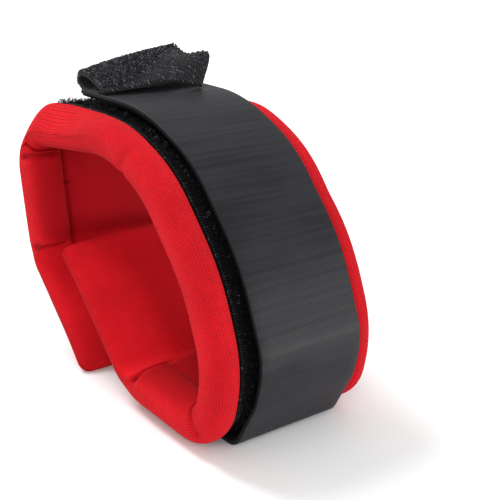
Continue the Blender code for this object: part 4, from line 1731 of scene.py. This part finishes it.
@dataclass(frozen=True)
class PullTab:
    """The pull tab: a strip of webbing folded over at the strap's free end, hook side out, and sewn down."""

    stations: tuple[TabStation, ...] = (
        TabStation((-23.2, -13, 61.9), (-28.6, -13, 60.8), (-31.8, -13, 62.2), (-30.9, -13, 64.1),
                   (-28.2, -13, 64.3), (-25.0, -13, 63.5), (-21.6, -13, 62.5)),
        TabStation((-21.8, -4, 62.8), (-27.6, -4, 61.8), (-31.4, -4, 63.6), (-30.0, -4.5, 66.4),
                   (-27.0, -4.6, 66.4), (-23.4, -5, 65.1), (-20.6, -5.3, 63.4)),
        TabStation((-21.4, 6, 63.0), (-27.4, 6, 62.1), (-31.4, 5.7, 64.5), (-29.7, 5, 67.9),
                   (-26.2, 5.3, 67.9), (-22.3, 5.6, 66.3), (-19.3, 4.4, 64.3)),
        TabStation((-21.0, 15, 63.0), (-27.0, 15.5, 62.5), (-30.9, 15, 65.5), (-29.3, 13, 69.0),
                   (-25.6, 14.2, 67.9), (-21.4, 17.0, 69.2), (-17.2, 12.2, 62.8)),
    )
    width: float = 30.0 * MM
    thickness: float = 0.9 * MM
    hinge: float = 0.3
    rows: int = 46
    columns: int = 44
    knob_pitch: float = 0.64 * MM
    dot_pitch: float = 0.78 * MM
    bend_start: tuple[float, float, float] = (-28.2 * MM, 0, 61.3 * MM)
    bend_end: tuple[float, float, float] = (-31.0 * MM, 0, 62.8 * MM)
    bar_tack_x: float = -24.0 * MM

    def surface(self, across: np.ndarray, along: np.ndarray) -> tuple[np.ndarray, np.ndarray]:
        """The middle of the sheet and its outward normals, for places from 0 to 1 each way."""
        profiles = through(np.stack([s.points() for s in self.stations]), across)
        grid = np.stack([through(profile, along) for profile in profiles])
        du, dv = np.gradient(grid, axis=0), np.gradient(grid, axis=1)
        up = np.cross(dv, du)
        up /= np.linalg.norm(up, axis=-1, keepdims=True)
        return grid, up

    def build(self) -> list[bpy.types.Object]:
        """Makes the base, the flap, its hook side, and the bar tack."""
        base, _ = self.sheet("tab_base_webbing", 0.0, self.hinge)
        flap, length = self.sheet("tab_flap_webbing", self.hinge, 1.0)
        knobs = self.beads("tab_knobs", KNOBS, self.knob_pitch, True, 51)
        dots = self.beads("tab_woven_dots", DOTS, self.dot_pitch, False, 61)
        tack = self.bar_tack()
        fit(base, "webbing", "tab_base")
        fit(flap, "webbing", "tab_webbing")
        fit(knobs, "hook_tape", "tab_hook_face")
        fit(dots, "webbing")
        fit(tack, "thread", "tab_bar_tack")
        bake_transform(base, "strap_end", "pull_tab", start=self.bend_start, end=self.bend_end)
        for piece in (flap, knobs, dots):
            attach(piece, "pull_tab")
        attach(tack, "strap_end")
        return [base, flap, knobs, dots, tack]

    def sheet(self, name: str, start: float, stop: float) -> tuple[bpy.types.Object, float]:
        """One stretch of the folded sheet, and the mean length it is cut to."""
        across = np.linspace(0, 1, self.columns)
        along = np.linspace(start, stop, max(8, round(self.rows * (stop - start))))
        wide = np.linspace(0, 1, 200)
        grid, up = self.surface(across, along)
        made = shell(name, grid, up, -self.thickness / 2, self.thickness / 2, 0.15 * MM)
        full, _ = self.surface(across, wide)
        steps = np.linalg.norm(np.diff(full, axis=1), axis=-1)
        arc = np.concatenate([np.zeros((len(across), 1)), np.cumsum(steps, axis=1)], axis=1)
        places = np.zeros(grid.shape)
        places[..., 0] = np.stack([np.interp(along, wide, row) for row in arc])
        places[..., 1] = across[:, None] * self.width
        vector_attribute(made.data, "web_map", np.concatenate([places.reshape(-1, 3)] * 2))
        length = float(np.mean(places[:, -1, 0] - places[:, 0, 0]))
        LOG.info("%s: cut %.1f by %.1f mm", name, self.width / MM, length / MM)
        made.data.materials.append(WEBBING.made())
        return made, length

    def beads(self, name: str, finish: Finish, pitch: float, hooked: bool, seed: int) -> bpy.types.Object:
        """Rows of beads on the flap's outer side: the hook side's knobs, or the webbing's woven dots."""
        across = np.linspace(0.012, 0.988, round(29.5 * MM / pitch))
        along = np.linspace(self.hinge + 0.01, 0.985, round(15.5 * MM / pitch))
        grid, up = self.surface(across, along)
        places_across, places_along = np.meshgrid(across, along, indexing="ij")
        border = 0.94 - 0.42 * smooth_step(0.1, 1.0, places_across)
        keep = (places_along < border) == hooked
        shift = pitch / 2 * (np.arange(len(across)) % 2)[:, None, None]
        dv = np.gradient(grid, axis=1)
        dv /= np.linalg.norm(dv, axis=-1, keepdims=True)
        points = grid + up * (self.thickness / 2 + (0.12 if hooked else 0.0) * MM) + dv * shift
        lean, most, tilt, turn = (0.2, 1.1, 0.2, 0.3) if hooked else (0.9, 0.95, 0.03, 0.03)
        along = dv + np.cross(up, dv) * lean
        bead = self.bead(hooked)
        repeat = Repeat(Spread.ON_POINTS, finish, least=0.75, most=most, tilt=tilt, turn=turn, seed=seed)
        made = repeat.grow(name, point_bed(f"{name}_bed", points[keep], up[keep], along[keep]), bead)
        discard(bead)
        return made

    @staticmethod
    def bead(hooked: bool) -> bpy.types.Object:
        """A knob of the hook side, or one float of the webbing's weave."""
        if hooked:
            z = np.array([-0.25, 0.0, 0.22, 0.42, 0.5]) * MM
            points = np.stack([np.array([0, 0, 0.02, 0.1, 0.2]) * MM, np.zeros(5), z], axis=-1)
            return tube("knob", points, np.array([0.16, 0.2, 0.27, 0.25, 0.1]) * MM, 6)
        x = np.linspace(-1, 1, 5)
        points = np.stack([x * 0.4 * MM, np.zeros(5), 0.14 * MM * (1 - x**2) - 0.04 * MM], axis=-1)
        return tube("float", points, np.array([0.08, 0.18, 0.21, 0.18, 0.08]) * MM, 6)

    def bar_tack(self) -> bpy.types.Object:
        """The dense row of stitches that holds the base to the strap."""
        across = np.linspace(0.03, 0.97, 60)
        grid, up = self.surface(across, np.linspace(0, self.hinge, 30))
        column = int(np.abs(grid[:, :, 0] - self.bar_tack_x).mean(axis=0).argmin())
        points = grid[:, column] - up[:, column] * (self.thickness / 2)
        ahead = np.gradient(points, axis=0) * 0.6
        lean = np.cross(up[:, column], ahead)
        ahead = ahead + lean * np.where(np.arange(len(points)) % 2, 2.2, -2.2)[:, None]
        bead = LoopTape.stitch()
        repeat = Repeat(Spread.ON_POINTS, THREAD, least=0.72, most=0.8, seed=71)
        made = repeat.grow("bar_tack", point_bed("bar_tack_bed", points, -up[:, column], ahead), bead)
        discard(bead)
        return made


@dataclass(frozen=True)
class HookTape:
    """The hook tape under the strap's free end: its ground and its rows of moulded hooks."""

    strap: Strap
    start: float = 0.4 * MM
    length: float = 25.0 * MM
    ground: float = 0.3 * MM
    row: float = 1.25 * MM
    pitch: float = 1.35 * MM

    def build(self) -> list[bpy.types.Object]:
        """Makes the ground and the hooks."""
        line = self.strap.line()
        ground = flat_band(line, self.start, self.start + self.length, 0.8 * MM, self.section, "hook_ground")
        ground.data.materials.append(TAPE_GROUND.made())
        s = np.arange(self.start + 0.8 * MM, self.start + self.length - 0.6 * MM, self.row)
        y = np.arange(self.strap.near + 1.0 * MM, self.strap.far - 0.8 * MM, self.pitch)
        offset = self.strap.inside - self.ground + 0.02 * MM
        points = line.place(s[:, None], y[None, :], offset).reshape(-1, 3)
        t = np.repeat(line.tangent(s), len(y), axis=0)
        up = np.stack([t[:, 1], np.zeros(len(t)), -t[:, 0]], axis=-1)
        along = np.stack([t[:, 0], np.zeros(len(t)), t[:, 1]], axis=-1)
        hook = self.hook()
        repeat = Repeat(Spread.ON_POINTS, HOOKS, least=0.9, most=1.05, tilt=0.08, turn=0.2, seed=81)
        hooks = repeat.grow("hooks", point_bed("hook_bed", points, up, along), hook)
        discard(hook)
        fit(ground, "hook_tape", "hook_tape")
        fit(hooks, "hook_tape")
        for piece in (ground, hooks):
            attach(piece, "strap_end")
        return [ground, hooks]

    def section(self, s: np.ndarray) -> tuple[np.ndarray, np.ndarray]:
        """The ground's section, just under the strap."""
        high = self.strap.inside - 0.01 * MM
        low = high - self.ground
        near, far = self.strap.near + 0.2 * MM, self.strap.far - 0.2 * MM
        y, n = np.array([near, near, far, far]), np.array([low, high, high, low])
        return np.broadcast_to(y, (len(s), 4)), np.broadcast_to(n, (len(s), 4))

    @staticmethod
    def hook() -> bpy.types.Object:
        """A stem that bends over into a hook."""
        stem = [(0, 0, -0.05), (0, 0, 0.35), (0.08, 0, 0.6), (0.28, 0, 0.68), (0.38, 0, 0.55)]
        return tube("hook", np.array(stem) * MM, np.array([0.13, 0.1, 0.09, 0.08, 0.05]) * MM, 5)


@dataclass(frozen=True)
class Lamp:
    """A square soft light that faces the object."""

    name: str
    place: tuple[float, float, float]
    size: float
    power: float
    aim: tuple[float, float, float] = (0.0, 0.0, 0.03)

    def hang(self) -> None:
        """Hangs the light in its place."""
        data = bpy.data.lights.new(self.name, "AREA")
        data.size = self.size
        data.energy = self.power
        made = bpy.data.objects.new(self.name, data)
        bpy.context.scene.collection.objects.link(made)
        made.location = self.place
        towards = Vector(self.aim) - Vector(self.place)
        made.rotation_mode = "QUATERNION"
        made.rotation_quaternion = towards.to_track_quat("-Z", "Y")


@dataclass(frozen=True)
class Studio:
    """The camera, the floor and the lights."""

    eye: tuple[float, float, float] = (198.23 * MM, -181.74 * MM, 149.23 * MM)
    ahead: tuple[float, float, float] = (-0.64451, 0.65156, -0.40009)
    above: tuple[float, float, float] = (-0.37928, 0.1819, 0.90722)
    lens: float = 91.33
    sensor: float = 36.0
    floor_half: float = 3.0
    daylight: float = 0.80
    lamps: tuple[Lamp, ...] = (
        Lamp("key", (-0.62, -0.16, 0.72), 0.32, 7.0),
        Lamp("fill", (0.45, -0.60, 0.42), 0.40, 1.8),
        Lamp("sheen", (0.78, 0.68, 0.10), 0.40, 6.0),
    )

    def build(self) -> None:
        """Makes them, and sets the scene's camera."""
        scene = bpy.context.scene
        scene.view_settings.view_transform = "Standard"
        self.camera(scene)
        self.floor()
        world = bpy.data.worlds.new("studio")
        scene.world = world
        world.use_nodes = True
        background = world.node_tree.nodes["Background"]
        background.inputs["Color"].default_value = (1.0, 1.0, 1.0, 1.0)
        background.inputs["Strength"].default_value = self.daylight
        for lamp in self.lamps:
            lamp.hang()

    def camera(self, scene: bpy.types.Scene) -> None:
        """Stands the camera at the eye."""
        data = bpy.data.cameras.new("camera")
        data.lens = self.lens
        data.sensor_width = self.sensor
        data.clip_start = 0.01
        made = bpy.data.objects.new("camera", data)
        scene.collection.objects.link(made)
        back = -Vector(self.ahead).normalized()
        right = Vector(self.above).cross(back).normalized()
        up = back.cross(right)
        made.matrix_world = Matrix.Translation(self.eye) @ Matrix((right, up, back)).transposed().to_4x4()
        scene.camera = made

    def floor(self) -> None:
        """Lays the floor under the object."""
        half = self.floor_half
        points = np.array([(-half, -half, 0), (half, -half, 0), (half, half, 0), (-half, half, 0)], float)
        made = new_object("floor", mesh_of("floor", points, [(0, 1, 2, 3)]))
        made.data.materials.append(FLOOR.made())


def main() -> None:
    """Builds the band's sub-assemblies in order and logs each piece."""
    logging.basicConfig(level=logging.INFO, format="%(message)s")
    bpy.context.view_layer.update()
    Studio().build()
    loop = Loop()
    LOG.info("loop: %.1f mm long", loop.line().length / MM)
    pieces: list[bpy.types.Object] = []
    strap = Strap(loop)
    for assembly in (PaddedBand(loop), LoopTape(loop), strap, HookTape(strap), PullTab()):
        pieces += assembly.build()
    for piece in pieces:
        LOG.info("%s: %d faces", piece.name, len(piece.data.polygons))


if __name__ == "__main__":
    main()
